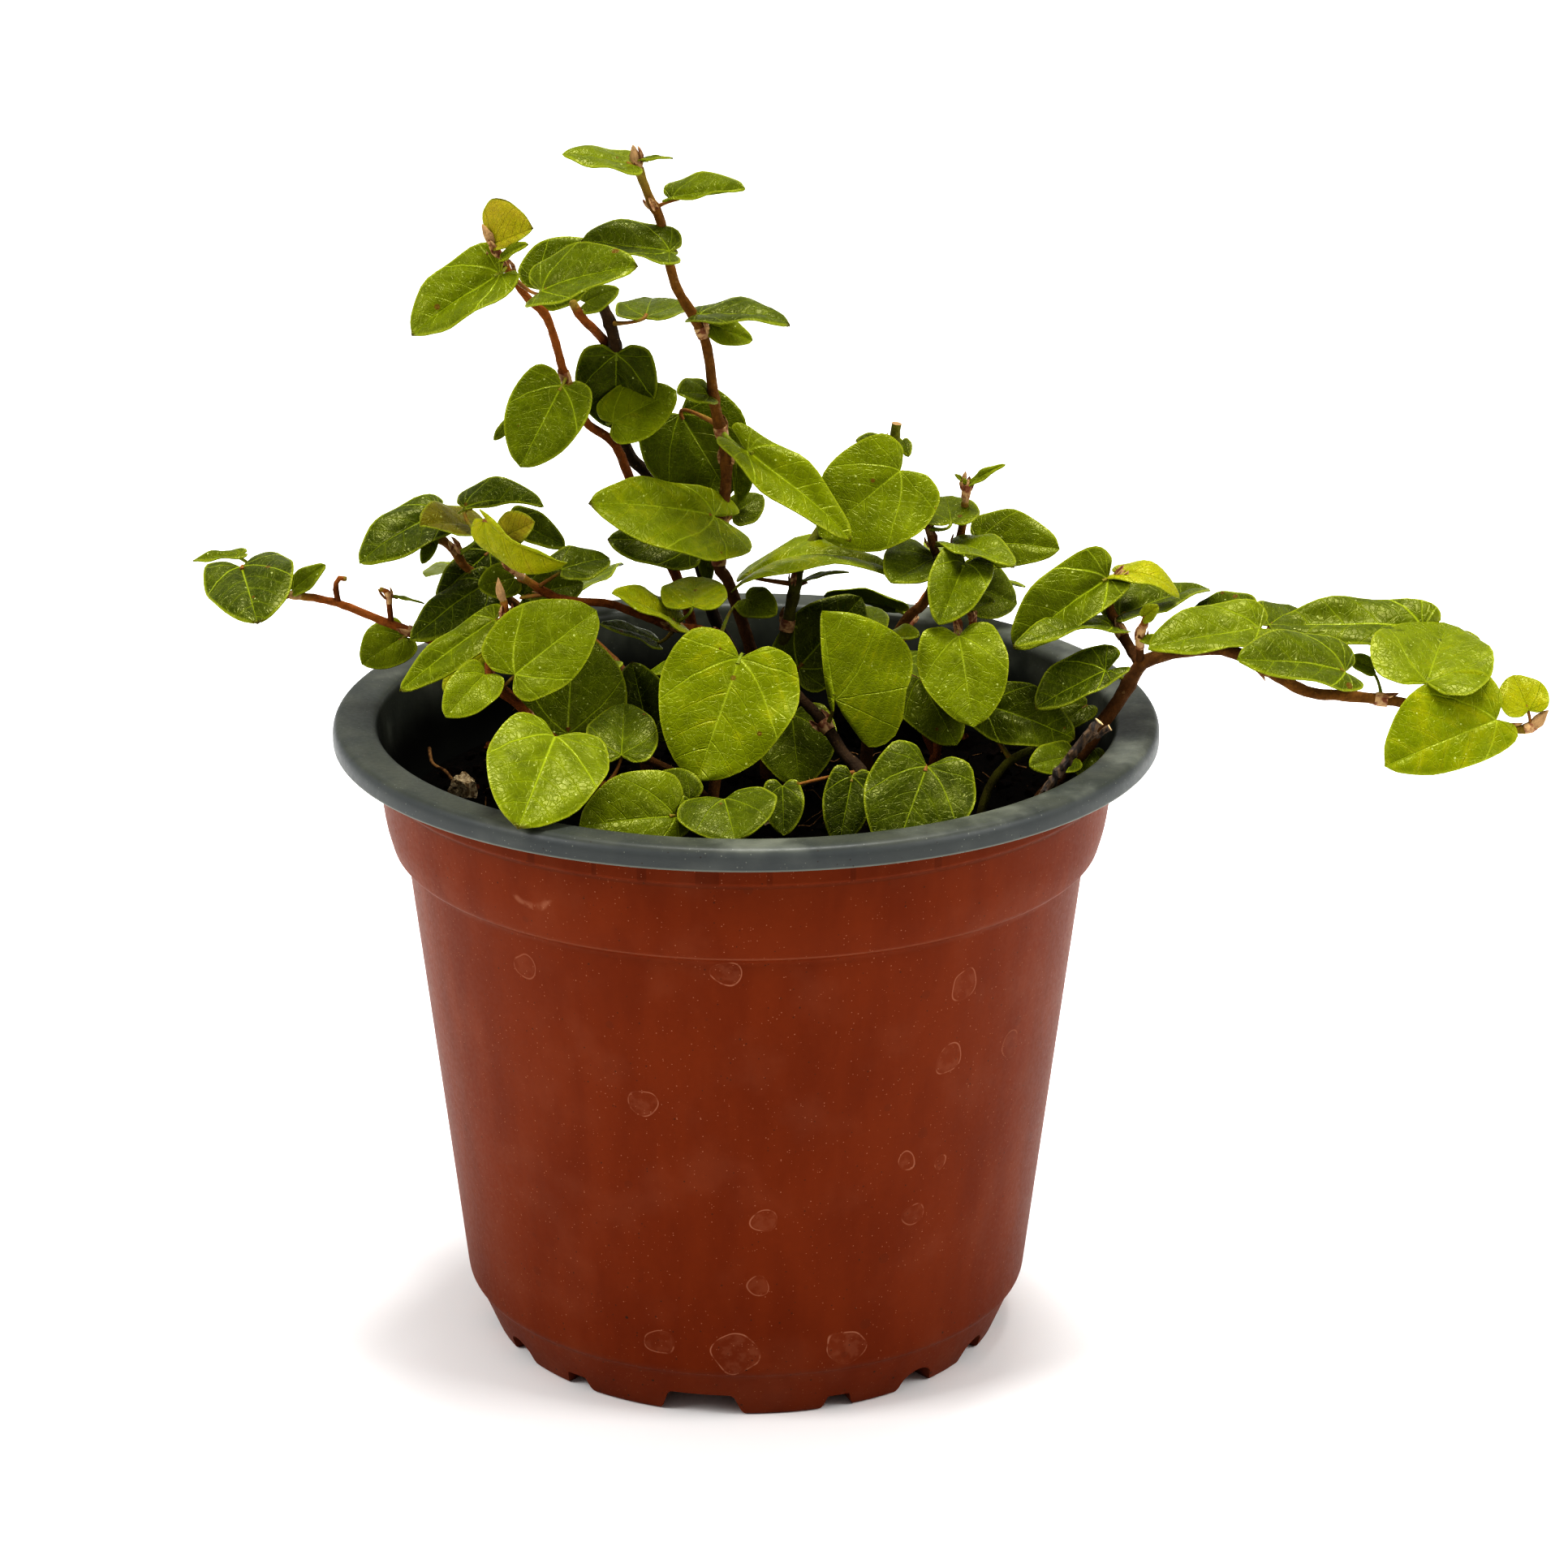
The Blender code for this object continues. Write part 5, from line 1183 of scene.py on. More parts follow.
    def add_roots(self, look: bpy.types.Material) -> bpy.types.Object:
        """Lay fine root fibres over the soil as one piece."""
        maker = Maker(77)
        for _ in range(self.roots):
            start = self.spot(maker.random, 0.1)
            turn = maker.random.uniform(0, math.tau)
            route = [start]
            for _ in range(self.root_steps):
                turn += maker.random.uniform(-self.root_turn, self.root_turn)
                x = route[-1].x + self.root_step * math.cos(turn)
                y = route[-1].y + self.root_step * math.sin(turn)
                if math.hypot(x, y) > self.top_radius - 2:
                    break
                lift = maker.random.uniform(0.0, self.root_lift)
                route.append(Vector((x, y, self.height(x, y) + lift)))
            if len(route) < 3:
                continue
            path = smooth_route([tuple(point) for point in route], 0.8)
            thick = maker.random.uniform(*self.root_radii)
            radii = [thick * (1 - 0.6 * index / len(path)) for index in range(len(path))]
            maker.tube(path, radii, 5, Look.BLADE, [0.5] * len(path))
        path = smooth_route(self.seen_root, 0.5)
        maker.tube(path, [0.3] * len(path), 8, Look.BLADE, [0.5] * len(path))
        piece = maker.piece("root_fibres", [look])
        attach(piece, "root")
        return piece


@dataclass
class DryTwig:
    """The dry forked twig that stands in the soil at the right."""

    shoots: tuple = (
        Shoot((0.9, 0.62), [
            (39, -24, 72.5), (39, -24, 82), (41.9, -22.2, 89.1), (43.3, -22, 91.7),
            (45.3, -22, 94.6), (47.8, -22, 98.2), (49.7, -22, 100.5),
        ]),
        Shoot((0.5, 0.42), [(45.3, -22, 94.6), (47.6, -21, 97), (49.5, -21, 98.2), (51.3, -21, 99.3)]),
    )
    spacing: float = 0.45
    sides: int = 12
    # Knots along it: their height as a share of the radius, and their pitch
    knots: tuple = (0.12, 1.7)
    roughness: float = 0.35

    def build(self, wood: bpy.types.Material) -> bpy.types.Object:
        """Build the twig as one piece that stands for its solid."""
        maker = Maker(5)
        for shoot in self.shoots:
            path = smooth_route(shoot.route, self.spacing)
            radii = [
                radius * (1 + self.knots[0] * math.sin(self.knots[1] * index))
                for index, radius in enumerate(LeafyStem.taper(shoot, path))]
            tones = [max(0.0, 1.0 - 2.2 * (len(path) - 1 - index)) for index in range(len(path))]
            maker.tube(path, radii, self.sides, Look.BLADE, tones, 0.5, self.roughness)
        piece = maker.piece("forked_dry_twig", [wood], 30.0)
        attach(piece, "root")
        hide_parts("dry_twig")
        return piece


class Signal:
    """What one output of a node carries, with the usual operators for numbers."""

    def __init__(self, sheet: "NodeSheet", socket: bpy.types.NodeSocket) -> None:
        """Take the output."""
        self.sheet, self.socket = sheet, socket

    def __add__(self, other: object) -> "Signal":
        """Return the sum."""
        return self.sheet.math("ADD", self, other)

    def __sub__(self, other: object) -> "Signal":
        """Return the difference."""
        return self.sheet.math("SUBTRACT", self, other)

    def __rsub__(self, other: object) -> "Signal":
        """Return the difference from something else."""
        return self.sheet.math("SUBTRACT", other, self)

    def __mul__(self, other: object) -> "Signal":
        """Return the product."""
        return self.sheet.math("MULTIPLY", self, other)

    def __truediv__(self, other: object) -> "Signal":
        """Return the quotient."""
        return self.sheet.math("DIVIDE", self, other)

    def __gt__(self, other: object) -> "Signal":
        """Return 1 where it is greater, else 0."""
        return self.sheet.math("GREATER_THAN", self, other)

    def __lt__(self, other: object) -> "Signal":
        """Return 1 where it is less, else 0."""
        return self.sheet.math("LESS_THAN", self, other)

    def __abs__(self) -> "Signal":
        """Return its size without the sign."""
        return self.sheet.math("ABSOLUTE", self)

    def most(self, other: object) -> "Signal":
        """Return the greater of it and something else."""
        return self.sheet.math("MAXIMUM", self, other)

    def span(self, low: float, high: float, start: float = 0.0, end: float = 1.0) -> "Signal":
        """Return a value led smoothly from start to end while it goes from low to high."""
        sockets = {"Value": self, "From Min": low, "From Max": high, "To Min": start, "To Max": end}
        return self.sheet.add("ShaderNodeMapRange", sockets, interpolation_type="SMOOTHSTEP")

    def near(self, value: float, inner: float, outer: float, peak: float = 1.0) -> "Signal":
        """Return the peak within a distance of a value, falling smoothly to 0 at another."""
        return abs(self - value).span(inner, outer, peak, 0.0)

    def other(self, name: str) -> "Signal":
        """Return another output of the same node."""
        return Signal(self.sheet, self.socket.node.outputs[name])

    def parts(self, kind: str = "XYZ") -> list:
        """Return the three parts of a vector, or of a colour for the kind Color."""
        first = self.sheet.add("ShaderNodeSeparate" + kind, {0: self})
        return [Signal(self.sheet, output) for output in list(first.socket.node.outputs)[:3]]


def greatest(first: Signal, *others: Signal) -> Signal:
    """Return the greatest of several numbers."""
    for other in others:
        first = first.most(other)
    return first


def tint(source: object) -> object:
    """Return a signal as it is, and 8-bit display values as a linear colour."""
    return source if isinstance(source, Signal) else srgb(*source)


class NodeSheet:
    """A shader or group node tree with short calls for the nodes that the finishes use."""

    def __init__(self, tree: bpy.types.NodeTree) -> None:
        """Take the tree to fill."""
        self.tree = tree

    def feed(self, socket: bpy.types.NodeSocket, value: object) -> None:
        """Give an input its value, or the signal that drives it."""
        if isinstance(value, Signal):
            self.tree.links.new(value.socket, socket)
        else:
            socket.default_value = value

    def add(self, kind: str, inputs: Optional[dict] = None, out: object = 0,
            **settings: object) -> Signal:
        """Add a node.

        Args:
            kind: type name of the node.
            inputs: value or signal for each input, by name or index.
            out: name or index of the output wanted.
            settings: properties of the node.

        Returns:
            The signal of that output.
        """
        node = self.tree.nodes.new(kind)
        for name, value in settings.items():
            setattr(node, name, value)
        for name, value in (inputs or {}).items():
            self.feed(node.inputs[name], value)
        return Signal(self, node.outputs[out])

    def math(self, operation: str, *values: object) -> Signal:
        """Return the result of a Math node."""
        return self.add("ShaderNodeMath", dict(enumerate(values)), operation=operation)

    def vector(self, operation: str, *values: object) -> Signal:
        """Return the result of a Vector Math node, a number for LENGTH and DISTANCE."""
        out = "Value" if operation in ("LENGTH", "DISTANCE") else "Vector"
        return self.add("ShaderNodeVectorMath", dict(enumerate(values)), out, operation=operation)

    def scaled(self, source: Signal, scale: object) -> Signal:
        """Return a vector or a colour times a number."""
        sockets = {0: source, "Scale": scale}
        return self.add("ShaderNodeVectorMath", sockets, "Vector", operation="SCALE")

    def value(self, name: str) -> Signal:
        """Return a number that the piece's own points carry."""
        return self.add("ShaderNodeAttribute", out="Fac", attribute_name=name)

    def noise(self, place: Signal, scale: object, detail: float = 3.0, **inputs: float) -> Signal:
        """Return a noise value, around 0.5, at a place."""
        sockets = {"Vector": place, "Scale": scale, "Detail": detail, **inputs}
        return self.add("ShaderNodeTexNoise", sockets, "Fac")

    def cells(self, place: Signal, scale: object) -> tuple:
        """Return the distance from the nearest of scattered points, and its three random numbers."""
        distance = self.add("ShaderNodeTexVoronoi", {"Vector": place, "Scale": scale}, "Distance")
        return distance, distance.other("Color").parts("Color")

    def net(self, place: Signal, scale: float, width: float) -> Signal:
        """Return the mask of the lines between scattered cells."""
        sockets = {"Vector": place, "Scale": scale}
        edge = self.add("ShaderNodeTexVoronoi", sockets, "Distance", feature="DISTANCE_TO_EDGE")
        return edge.span(0.0, width, 1.0, 0.0)

    def mix(self, share: object, first: object, second: object, blend: str = "MIX") -> Signal:
        """Return a colour mixed from two, each a signal or 8-bit display values."""
        sockets = {0: share, 6: tint(first), 7: tint(second)}
        return self.add("ShaderNodeMix", sockets, 2, data_type="RGBA", blend_type=blend)

    def ramp(self, source: Signal, stops: Sequence[tuple]) -> Signal:
        """Return a colour picked from stops of a place and 8-bit display values."""
        picked = self.add("ShaderNodeValToRGB", {"Fac": source}, "Color")
        elements = picked.socket.node.color_ramp.elements
        while len(elements) < len(stops):
            elements.new(0.5)
        for element, (place, _) in zip(elements, stops):
            element.position = place
        for element, (_, colour) in zip(elements, stops):
            element.color = srgb(*colour)
        return picked


class GroupSheet(NodeSheet):
    """The sheet of a shader node group."""

    def __init__(self, name: str, inputs: dict, outputs: dict) -> None:
        """Start the group, with the socket type of each input and output by name."""
        super().__init__(bpy.data.node_groups.new(name, "ShaderNodeTree"))
        for way, sockets in (("INPUT", inputs), ("OUTPUT", outputs)):
            for label, kind in sockets.items():
                self.tree.interface.new_socket(label, in_out=way, socket_type="NodeSocket" + kind)
        given = self.tree.nodes.new("NodeGroupInput")
        self.given = {label: Signal(self, given.outputs[label]) for label in inputs}
        self.result = self.tree.nodes.new("NodeGroupOutput")

    def give(self, **outputs: Signal) -> bpy.types.NodeTree:
        """Feed the outputs, and return the finished group."""
        for label, value in outputs.items():
            self.feed(self.result.inputs[label], value)
        return self.tree


class Effects:
    """The node groups that several finishes share."""

    def __init__(self) -> None:
        """Build each group once."""
        self.mottle = self.make_mottle()
        self.specks = self.make_specks()
        self.water_marks = self.make_water_marks()

    @staticmethod
    def make_mottle() -> bpy.types.NodeTree:
        """Build the group that lightens and darkens a colour in uneven patches."""
        sheet = GroupSheet(
            "uneven_patches",
            {"Color": "Color", "Place": "Vector", "Scale": "Float", "Strength": "Float"},
            {"Color": "Color", "Height": "Float"})
        broad = sheet.noise(sheet.given["Place"], sheet.given["Scale"], 5.0, Roughness=0.6)
        gain = (broad - 0.5) * 2.0 * sheet.given["Strength"] + 1.0
        return sheet.give(Color=sheet.scaled(sheet.given["Color"], gain), Height=broad)

    @staticmethod
    def make_specks() -> bpy.types.NodeTree:
        """Build the group that masks small scattered specks of dust, lime or soil."""
        sheet = GroupSheet(
            "scattered_specks", {"Place": "Vector", "Scale": "Float", "Amount": "Float"},
            {"Mask": "Float"})
        distance, (red, green, _) = sheet.cells(sheet.given["Place"], sheet.given["Scale"])
        size = sheet.math("POWER", green, 2.0) * GREATEST_SPECK
        return sheet.give(Mask=(distance < size) * (red < sheet.given["Amount"]))

    @staticmethod
    def make_water_marks() -> bpy.types.NodeTree:
        """Build the group that masks the dried drops and the smear seen on the pot."""
        sheet = GroupSheet(
            "dried_water_marks", {"Place": "Vector"}, {"Ring": "Float", "Inside": "Float"})
        given = sheet.given["Place"]
        warp = sheet.vector("SUBTRACT", sheet.noise(given, 0.17, 1.0).other("Color"), (0.5, 0.5, 0.5))
        place = sheet.vector("ADD", given, sheet.scaled(warp, 2.6))
        azimuth, low, radius = SMEAR
        distance = sheet.vector("DISTANCE", place, wall_place(azimuth, low + radius))
        smear = distance.near(radius, 0.1, 0.7, 0.5)
        rings = [smear * place.parts()[2].span(low + 0.8, low + 2.6, 1.0, 0.0)]
        insides = []
        for azimuth, height, radius, strength in WATER_MARKS:
            distance = sheet.vector("DISTANCE", place, wall_place(azimuth, height))
            rings.append(distance.near(radius, 0.0, 0.17, strength))
            insides.append(distance.span(radius - 0.3, radius, strength, 0.0))
        breaks = sheet.noise(given, 0.42).span(0.42, 0.56, 0.10, 1.0)
        return sheet.give(Ring=greatest(*rings) * breaks, Inside=greatest(*insides))


def wall_place(azimuth: float, height: float) -> tuple:
    """Return the place, in mm, of a spot on the pot's wall: azimuth 0 is the front."""
    (low_radius, low), (top_radius, top) = WALL_ENDS
    radius = low_radius + (top_radius - low_radius) * (height - low) / (top - low)
    radius += BAND_STEP if height > BAND_START else 0.0
    turn = math.radians(azimuth)
    return (radius * math.sin(turn), -radius * math.cos(turn), height)


class MaterialSheet(NodeSheet):
    """The sheet of a material with a Principled shader, and the effects that finishes share."""

    def __init__(self, name: str, effects: Effects) -> None:
        """Start the material, with its object coordinates in mm."""
        self.material = bpy.data.materials.new(name)
        self.material.use_nodes = True
        super().__init__(self.material.node_tree)
        self.effects = effects
        self.place = self.scaled(self.add("ShaderNodeTexCoord", out="Object"), 1.0 / MM)

    def mottled(self, colour: object, scale: float, strength: float) -> Signal:
        """Return a colour, a signal or 8-bit display values, broken up in uneven patches."""
        sockets = {"Color": tint(colour), "Place": self.place, "Scale": scale, "Strength": strength}
        return self.add("ShaderNodeGroup", sockets, node_tree=self.effects.mottle)

    def specks(self, scale: float, amount: object) -> Signal:
        """Return the mask of scattered specks."""
        sockets = {"Place": self.place, "Scale": scale, "Amount": amount}
        return self.add("ShaderNodeGroup", sockets, node_tree=self.effects.specks)

    def finished(self, inputs: dict, relief: Optional[Signal] = None,
                 depth: float = 0.0) -> bpy.types.Material:
        """Feed the shader.

        Args:
            inputs: value or signal for each of the shader's inputs, by name.
            relief: height of the surface's relief, if it has one.
            depth: depth of that relief, in mm.

        Returns:
            The finished material.
        """
        if relief is not None:
            bump = self.add("ShaderNodeBump", {"Height": relief, "Distance": depth * MM})
            inputs = {**inputs, "Normal": bump}
        shader = self.tree.nodes["Principled BSDF"]
        for name, value in inputs.items():
            self.feed(shader.inputs[name], value)
        return self.material


@dataclass(frozen=True)
class BladeFinish:
    """Leaf blade: green by age, pale veins and margin, glossy above and dull below."""

    ages: tuple = (
        (0.0, (158, 136, 46)), (0.25, (140, 138, 8)), (0.45, (101, 110, 2)),
        (0.65, (75, 84, 2)), (0.85, (46, 55, 2)), (1.0, (28, 38, 2)),
    )
    bronze: tuple = (92, 84, 8)
    vein: tuple = (146, 158, 34)
    margin: tuple = (132, 138, 30)
    under: tuple = (120, 132, 34)
    scar: tuple = (96, 62, 24)
    dead: tuple = (46, 24, 10)
    dust: tuple = (190, 196, 130)
    roughness: float = 0.27
    gloss: tuple = (1.0, 0.98, 0.30, 1.0)

    @staticmethod
    def veins(sheet: NodeSheet) -> tuple:
        """Lay the veins out on the leaf's own map.

        Args:
            sheet: sheet of the material.

        Returns:
            The mask of the main veins, of the side veins, of the fine net, the swell between, and
            the mask of the tip.
        """
        uv = sheet.add("ShaderNodeUVMap", uv_map="leaf_map")
        left, top, _ = uv.parts()
        across, along = left * 2.0 - 1.0, top * MAP_SPAN - MAP_SHIFT
        wander = sheet.noise(uv, 7.0, 2.0) * 0.07 - 0.035
        reach = abs(across)
        start = along - reach * VEIN_SLOPE - reach * reach * VEIN_BOW + wander * reach * 3.0
        staggered = start - (across > 0.0) * VEIN_STAGGER
        phase = sheet.math("FRACT", staggered / VEIN_SPACING + 0.5)
        away = abs(phase - 0.5) * VEIN_SPACING
        thin = (reach * -0.012 + 0.0095).most(0.004)
        side = (1.0 - away / thin).most(0.0) * staggered.span(0.03, 0.09)
        width = (along * -0.014 + 0.018).most(0.005)
        rib = (1.0 - reach / width).most(0.0) * along.span(-0.03, 0.0)
        main = rib.most(1.0 - abs(start) / 0.016)
        angle = sheet.math("ARCTAN2", along + wander * 0.8, reach)
        length = sheet.vector("LENGTH", sheet.add("ShaderNodeCombineXYZ", {"X": across, "Y": along}))
        below = start.span(0.0, 0.02, 1.0, 0.0)
        for turn in LOBE_VEINS:
            gap = abs(angle - turn) * length
            side = side.most((1.0 - gap / 0.010).most(0.0) * below)
        mesh = sheet.net(uv, 34.0, 0.09).most(sheet.net(uv, 15.0, 0.05))
        return main, side, mesh, away.span(0.0, 0.05), length.span(0.95, 1.0)

    def material(self, effects: Effects) -> bpy.types.Material:
        """Build the material."""
        sheet = MaterialSheet("leaf_blade", effects)
        tone, shade, under = (sheet.value(name) for name in ("tone", "shade", "under"))
        main, side, mesh, swell, tip = self.veins(sheet)
        patches = sheet.noise(sheet.place, 0.32, 4.0)
        age = tone + shade * 0.10 + patches * 0.34 + swell * 0.05 - 0.22
        green = sheet.mix(tone.span(-0.3, -0.1, 1.0, 0.0), sheet.ramp(age, self.ages), self.bronze)
        light = tone.span(0.15, 0.5, 0.35, 0.85) * shade.span(0.0, 1.0, 0.65, 1.0)
        colour = sheet.mix(mesh * 0.08, sheet.mottled(green, 1.1, 0.22), self.vein)
        lines = (side * 0.55).most(main)
        colour = sheet.mix(lines * light, colour, self.vein)
        colour = sheet.mix(sheet.value("rim").span(0.05, 0.55, 0.62, 0.0), colour, self.margin)
        back = sheet.mix(lines * 0.5, sheet.mix(0.55, colour, self.under), self.vein)
        colour = sheet.mix(under, colour, back)
        colour = sheet.mix(tip * (shade > 0.55) * 0.85, colour, self.dead)
        colour = sheet.mix(sheet.specks(0.55, 0.07) * 0.75, colour, self.scar)
        colour = sheet.mix(sheet.specks(1.9, 0.10) * 0.45, colour, self.dust)
        rough = sheet.noise(sheet.place, 0.9) * 0.30 + under * 0.24 + (self.roughness - 0.13)
        relief = sheet.noise(sheet.place, 2.4, 2.0) * 0.4 - main.most(side) - mesh * 0.38
        return sheet.finished({
            "Base Color": colour, "Roughness": rough, "Specular IOR Level": 0.2,
            "Specular Tint": self.gloss, "Subsurface Weight": 0.06,
            "Subsurface Radius": (0.5, 0.8, 0.15), "Subsurface Scale": 0.0012,
        }, relief, 0.09)


@dataclass(frozen=True)
class BarkFinish:
    """Bark of the shoots: four kinds, from fissured old wood to the smoother young end."""

    # Colours by the value of Bark
    old: tuple = ((0.0, (96, 52, 18)), (0.33, (80, 50, 18)), (0.66, (40, 30, 20)), (1.0, (62, 54, 20)))
    young: tuple = (
        (0.0, (134, 78, 28)), (0.33, (114, 76, 24)), (0.66, (62, 44, 24)), (1.0, (104, 104, 26)),
    )
    flake: tuple = (136, 108, 72)
    shoot_end: tuple = (140, 128, 52)
    bud: tuple = (164, 132, 92)

    def material(self, effects: Effects) -> bpy.types.Material:
        """Build the material."""
        sheet = MaterialSheet("stem_bark", effects)
        age, kind = sheet.value("tone"), sheet.value("shade")
        patches = sheet.noise(sheet.place, 0.45, 4.0)
        share = (age + patches * 0.9 - 0.45).span(0.15, 0.75)
        colour = sheet.mix(share, sheet.ramp(kind, self.young), sheet.ramp(kind, self.old))
        fresh = age.span(0.02, 0.10, 0.7, 0.0) * kind.span(0.40, 0.60, 1.0, 0.0)
        colour = sheet.mix(fresh, colour, self.shoot_end)
        colour = sheet.mix(age.span(-0.7, -0.3, 1.0, 0.0), colour, self.bud)
        flakes = sheet.specks(1.3, 0.22)
        colour = sheet.mix(flakes * 0.45, sheet.mottled(colour, 1.6, 0.55), self.flake)
        relief = flakes * 0.5 + sheet.noise(sheet.place, 2.6, 6.0, Roughness=0.7)
        rough = patches.span(0.3, 0.7, 0.52, 0.80)
        return sheet.finished(
            {"Base Color": colour, "Roughness": rough, "Specular IOR Level": 0.14}, relief, 0.30)


@dataclass(frozen=True)
class StalkFinish:
    """Leaf stalks and hairs: yellow-green to reddish, softly hairy."""

    green: tuple = (112, 122, 20)
    reddish: tuple = (122, 70, 30)

    def material(self, effects: Effects) -> bpy.types.Material:
        """Build the material."""
        sheet = MaterialSheet("leaf_stalk", effects)
        share = sheet.value("shade") + sheet.noise(sheet.place, 0.4) * 1.2 - 0.6
        colour = sheet.mix(share.span(0.1, 0.8, 0.0, 0.85), self.green, self.reddish)
        mottled = sheet.mottled(colour, 2.2, 0.35)
        return sheet.finished({
            "Base Color": mottled, "Roughness": mottled.other("Height").span(0.3, 0.7, 0.48, 0.72),
            "Specular IOR Level": 0.25, "Subsurface Weight": 0.1, "Subsurface Scale": 0.001,
        }, sheet.noise(sheet.place, 5.0), 0.08)


@dataclass(frozen=True)
class SheathFinish:
    """Papery scales at the nodes: tan, with browner streaks."""

    pale: tuple = (178, 144, 98)
    brown: tuple = (112, 62, 30)

    def material(self, effects: Effects) -> bpy.types.Material:
        """Build the material."""
        sheet = MaterialSheet("papery_scale", effects)
        streaks = sheet.noise(sheet.place, 0.9, 5.0, Distortion=0.8)
        colour = sheet.mottled(sheet.mix(streaks.span(0.38, 0.62), self.pale, self.brown), 3.0, 0.3)
        rough = streaks.span(0.3, 0.7, 0.5, 0.8)
        return sheet.finished({"Base Color": colour, "Roughness": rough}, streaks, 0.10)


@dataclass(frozen=True)
class PlasticFinish:
    """Thin moulded plastic with dust, dried drops and grime towards its foot, painted shade in its
    nicks, its crease and inside the rim, and painted sheen on the grey rim.
    """

    name: str
    base: tuple
    shadow: tuple
    # Pale colour of lime and dust, also used for the painted sheen on the grey rim
    lime: tuple
    # Colour of dirt and grime, also used for the painted shade line in the crease under the rib
    dirt_and_shade: tuple = (46, 34, 26)
    roughness: float = 0.48
    shine: float = 0.10
    gloss: tuple = (1.0, 1.0, 1.0, 1.0)
    # Share of the pale haze: dust, and on the grey layer partly painted sheen, the lighter patches
    # where the rim reflects light
    dust_and_sheen: float = 0.05
    # How much shows of the painted shade in the mould's nicks, and of the pale line at the step and the
    # painted shade line in the crease under the rim
    nick_shade_share: float = 0.0
    ledge_share: float = 0.0
    # Colour of the flange's outer side, and how much of it shows
    flange: tuple = (63, 66, 67)
    flange_share: float = 0.0
    # Colour of the stretch inside the rim, darker with depth below it: wet dirt, and painted shade
    # where the inner wall lies in shadow; and how much of it shows
    inner_dirt_and_shade: tuple = (7, 7, 4)
    inner_dirt_and_shade_share: float = 0.0

    @staticmethod
    def nicks(sheet: NodeSheet, place: list) -> Signal:
        """Return the mask of the small upright nicks that the mould left under the rim."""
        turn = sheet.math("ARCTAN2", place[0], place[1] * -1.0) * math.degrees(1.0)
        mask = greatest(*(turn.near(azimuth, half, half + 0.25) for azimuth, half in NICKS))
        return mask * (place[2] > 87.6)

    def material(self, effects: Effects) -> bpy.types.Material:
        """Build the material."""
        sheet = MaterialSheet(self.name, effects)
        place, parts = sheet.place, sheet.place.parts()
        up = parts[2]
        streaks = sheet.noise(sheet.vector("MULTIPLY", place, (1.0, 1.0, 0.25)), 0.16, 5.0)
        colour = sheet.mix(streaks.span(0.35, 0.68), self.base, self.shadow)
        ring = sheet.add("ShaderNodeGroup", {"Place": place}, node_tree=effects.water_marks)
        stain = sheet.noise(place, 0.7).span(0.40, 0.62, 0.02, 0.12)
        reach = sheet.vector("LENGTH", sheet.vector("MULTIPLY", place, (1.0, 1.0, 0.0)))
        flange = reach.span(59.3, 59.8, 0.0, self.flange_share)
        # Wet dirt with painted shade: the grey layer darkens with depth below the rim to near black
        # inside the wall
        inner_dirt_and_shade_mask = (sheet.noise(place, 0.25, 4.0) * 5.0 + up).span(86.5, 94.5, 1.0, 0.0) * self.inner_dirt_and_shade_share
        crumbs = sheet.specks(1.4, up.span(2.0, 22.0, 0.14, 0.0))
        colour = sheet.mottled(colour, 0.9, 0.07)
        for share, overlay_colour in (
                (ring.other("Inside") * stain, self.lime),
                (ring * 0.62, self.lime),
                (up.near(75.9, 0.12, 0.40, self.ledge_share), self.lime),
                # Pale haze: dust, partly painted sheen on the grey rim
                (sheet.noise(place, 0.09, 6.0).span(0.48, 0.72, 0.0, self.dust_and_sheen), self.lime),
                (flange, self.flange),
                (up.near(91.95, 0.06, 0.26, 0.6) * flange, self.lime)):
            colour = sheet.mix(share, colour, overlay_colour)
        # Painted shade in the mould's nicks, which are not modelled
        colour = sheet.mix(self.nicks(sheet, parts) * self.nick_shade_share, colour, self.shadow, "MULTIPLY")
        for share, overlay_colour in (
                # Painted shade: the dark line in the crease under the rib
                (up.near(87.3, 0.15, 0.45, self.ledge_share), self.dirt_and_shade),
                (sheet.specks(0.36, 0.16) * 0.12, self.dirt_and_shade),
                (sheet.specks(3.3, 0.20) * 0.45, self.lime),
                (sheet.specks(2.3, 0.06) * 0.6, self.dirt_and_shade),
                (inner_dirt_and_shade_mask, self.inner_dirt_and_shade),
                (crumbs * 0.8, self.dirt_and_shade)):
            colour = sheet.mix(share, colour, overlay_colour)
        rough = sheet.noise(place, 1.4, 5.0).span(
            0.3, 0.7, self.roughness - 0.02, self.roughness + 0.05)
        return sheet.finished({
            "Base Color": colour, "Roughness": rough + ring * 0.16, "Specular IOR Level": self.shine,
            "Specular Tint": self.gloss,
        }, crumbs * 2.0 + sheet.noise(place, 6.0, 2.0), 0.006)


@dataclass(frozen=True)
class EarthFinish:
    """Damp potting mix, and the bits that lie in it: one colour broken up by two others."""

    name: str
    base: tuple
    dark: tuple
    light: tuple
    roughness: float = 0.85
    grain: float = 1.2
    relief: float = 0.45

    def material(self, effects: Effects) -> bpy.types.Material:
        """Build the material."""
        sheet = MaterialSheet(self.name, effects)
        coarse = sheet.noise(sheet.place, 0.7 * self.grain, 6.0)
        colour = sheet.mix(coarse.span(0.38, 0.60), self.dark, self.base)
        colour = sheet.mottled(colour, 2.0 * self.grain, 0.7)
        flecks = sheet.specks(1.1 * self.grain, 0.16)
        return sheet.finished({
            "Base Color": sheet.mix(flecks * 0.7, colour, self.light), "Specular IOR Level": 0.03,
            "Roughness": coarse.span(0.3, 0.7, self.roughness - 0.15, self.roughness + 0.08),
        }, flecks * 0.3 + sheet.noise(sheet.place, 1.8 * self.grain, 8.0), self.relief)


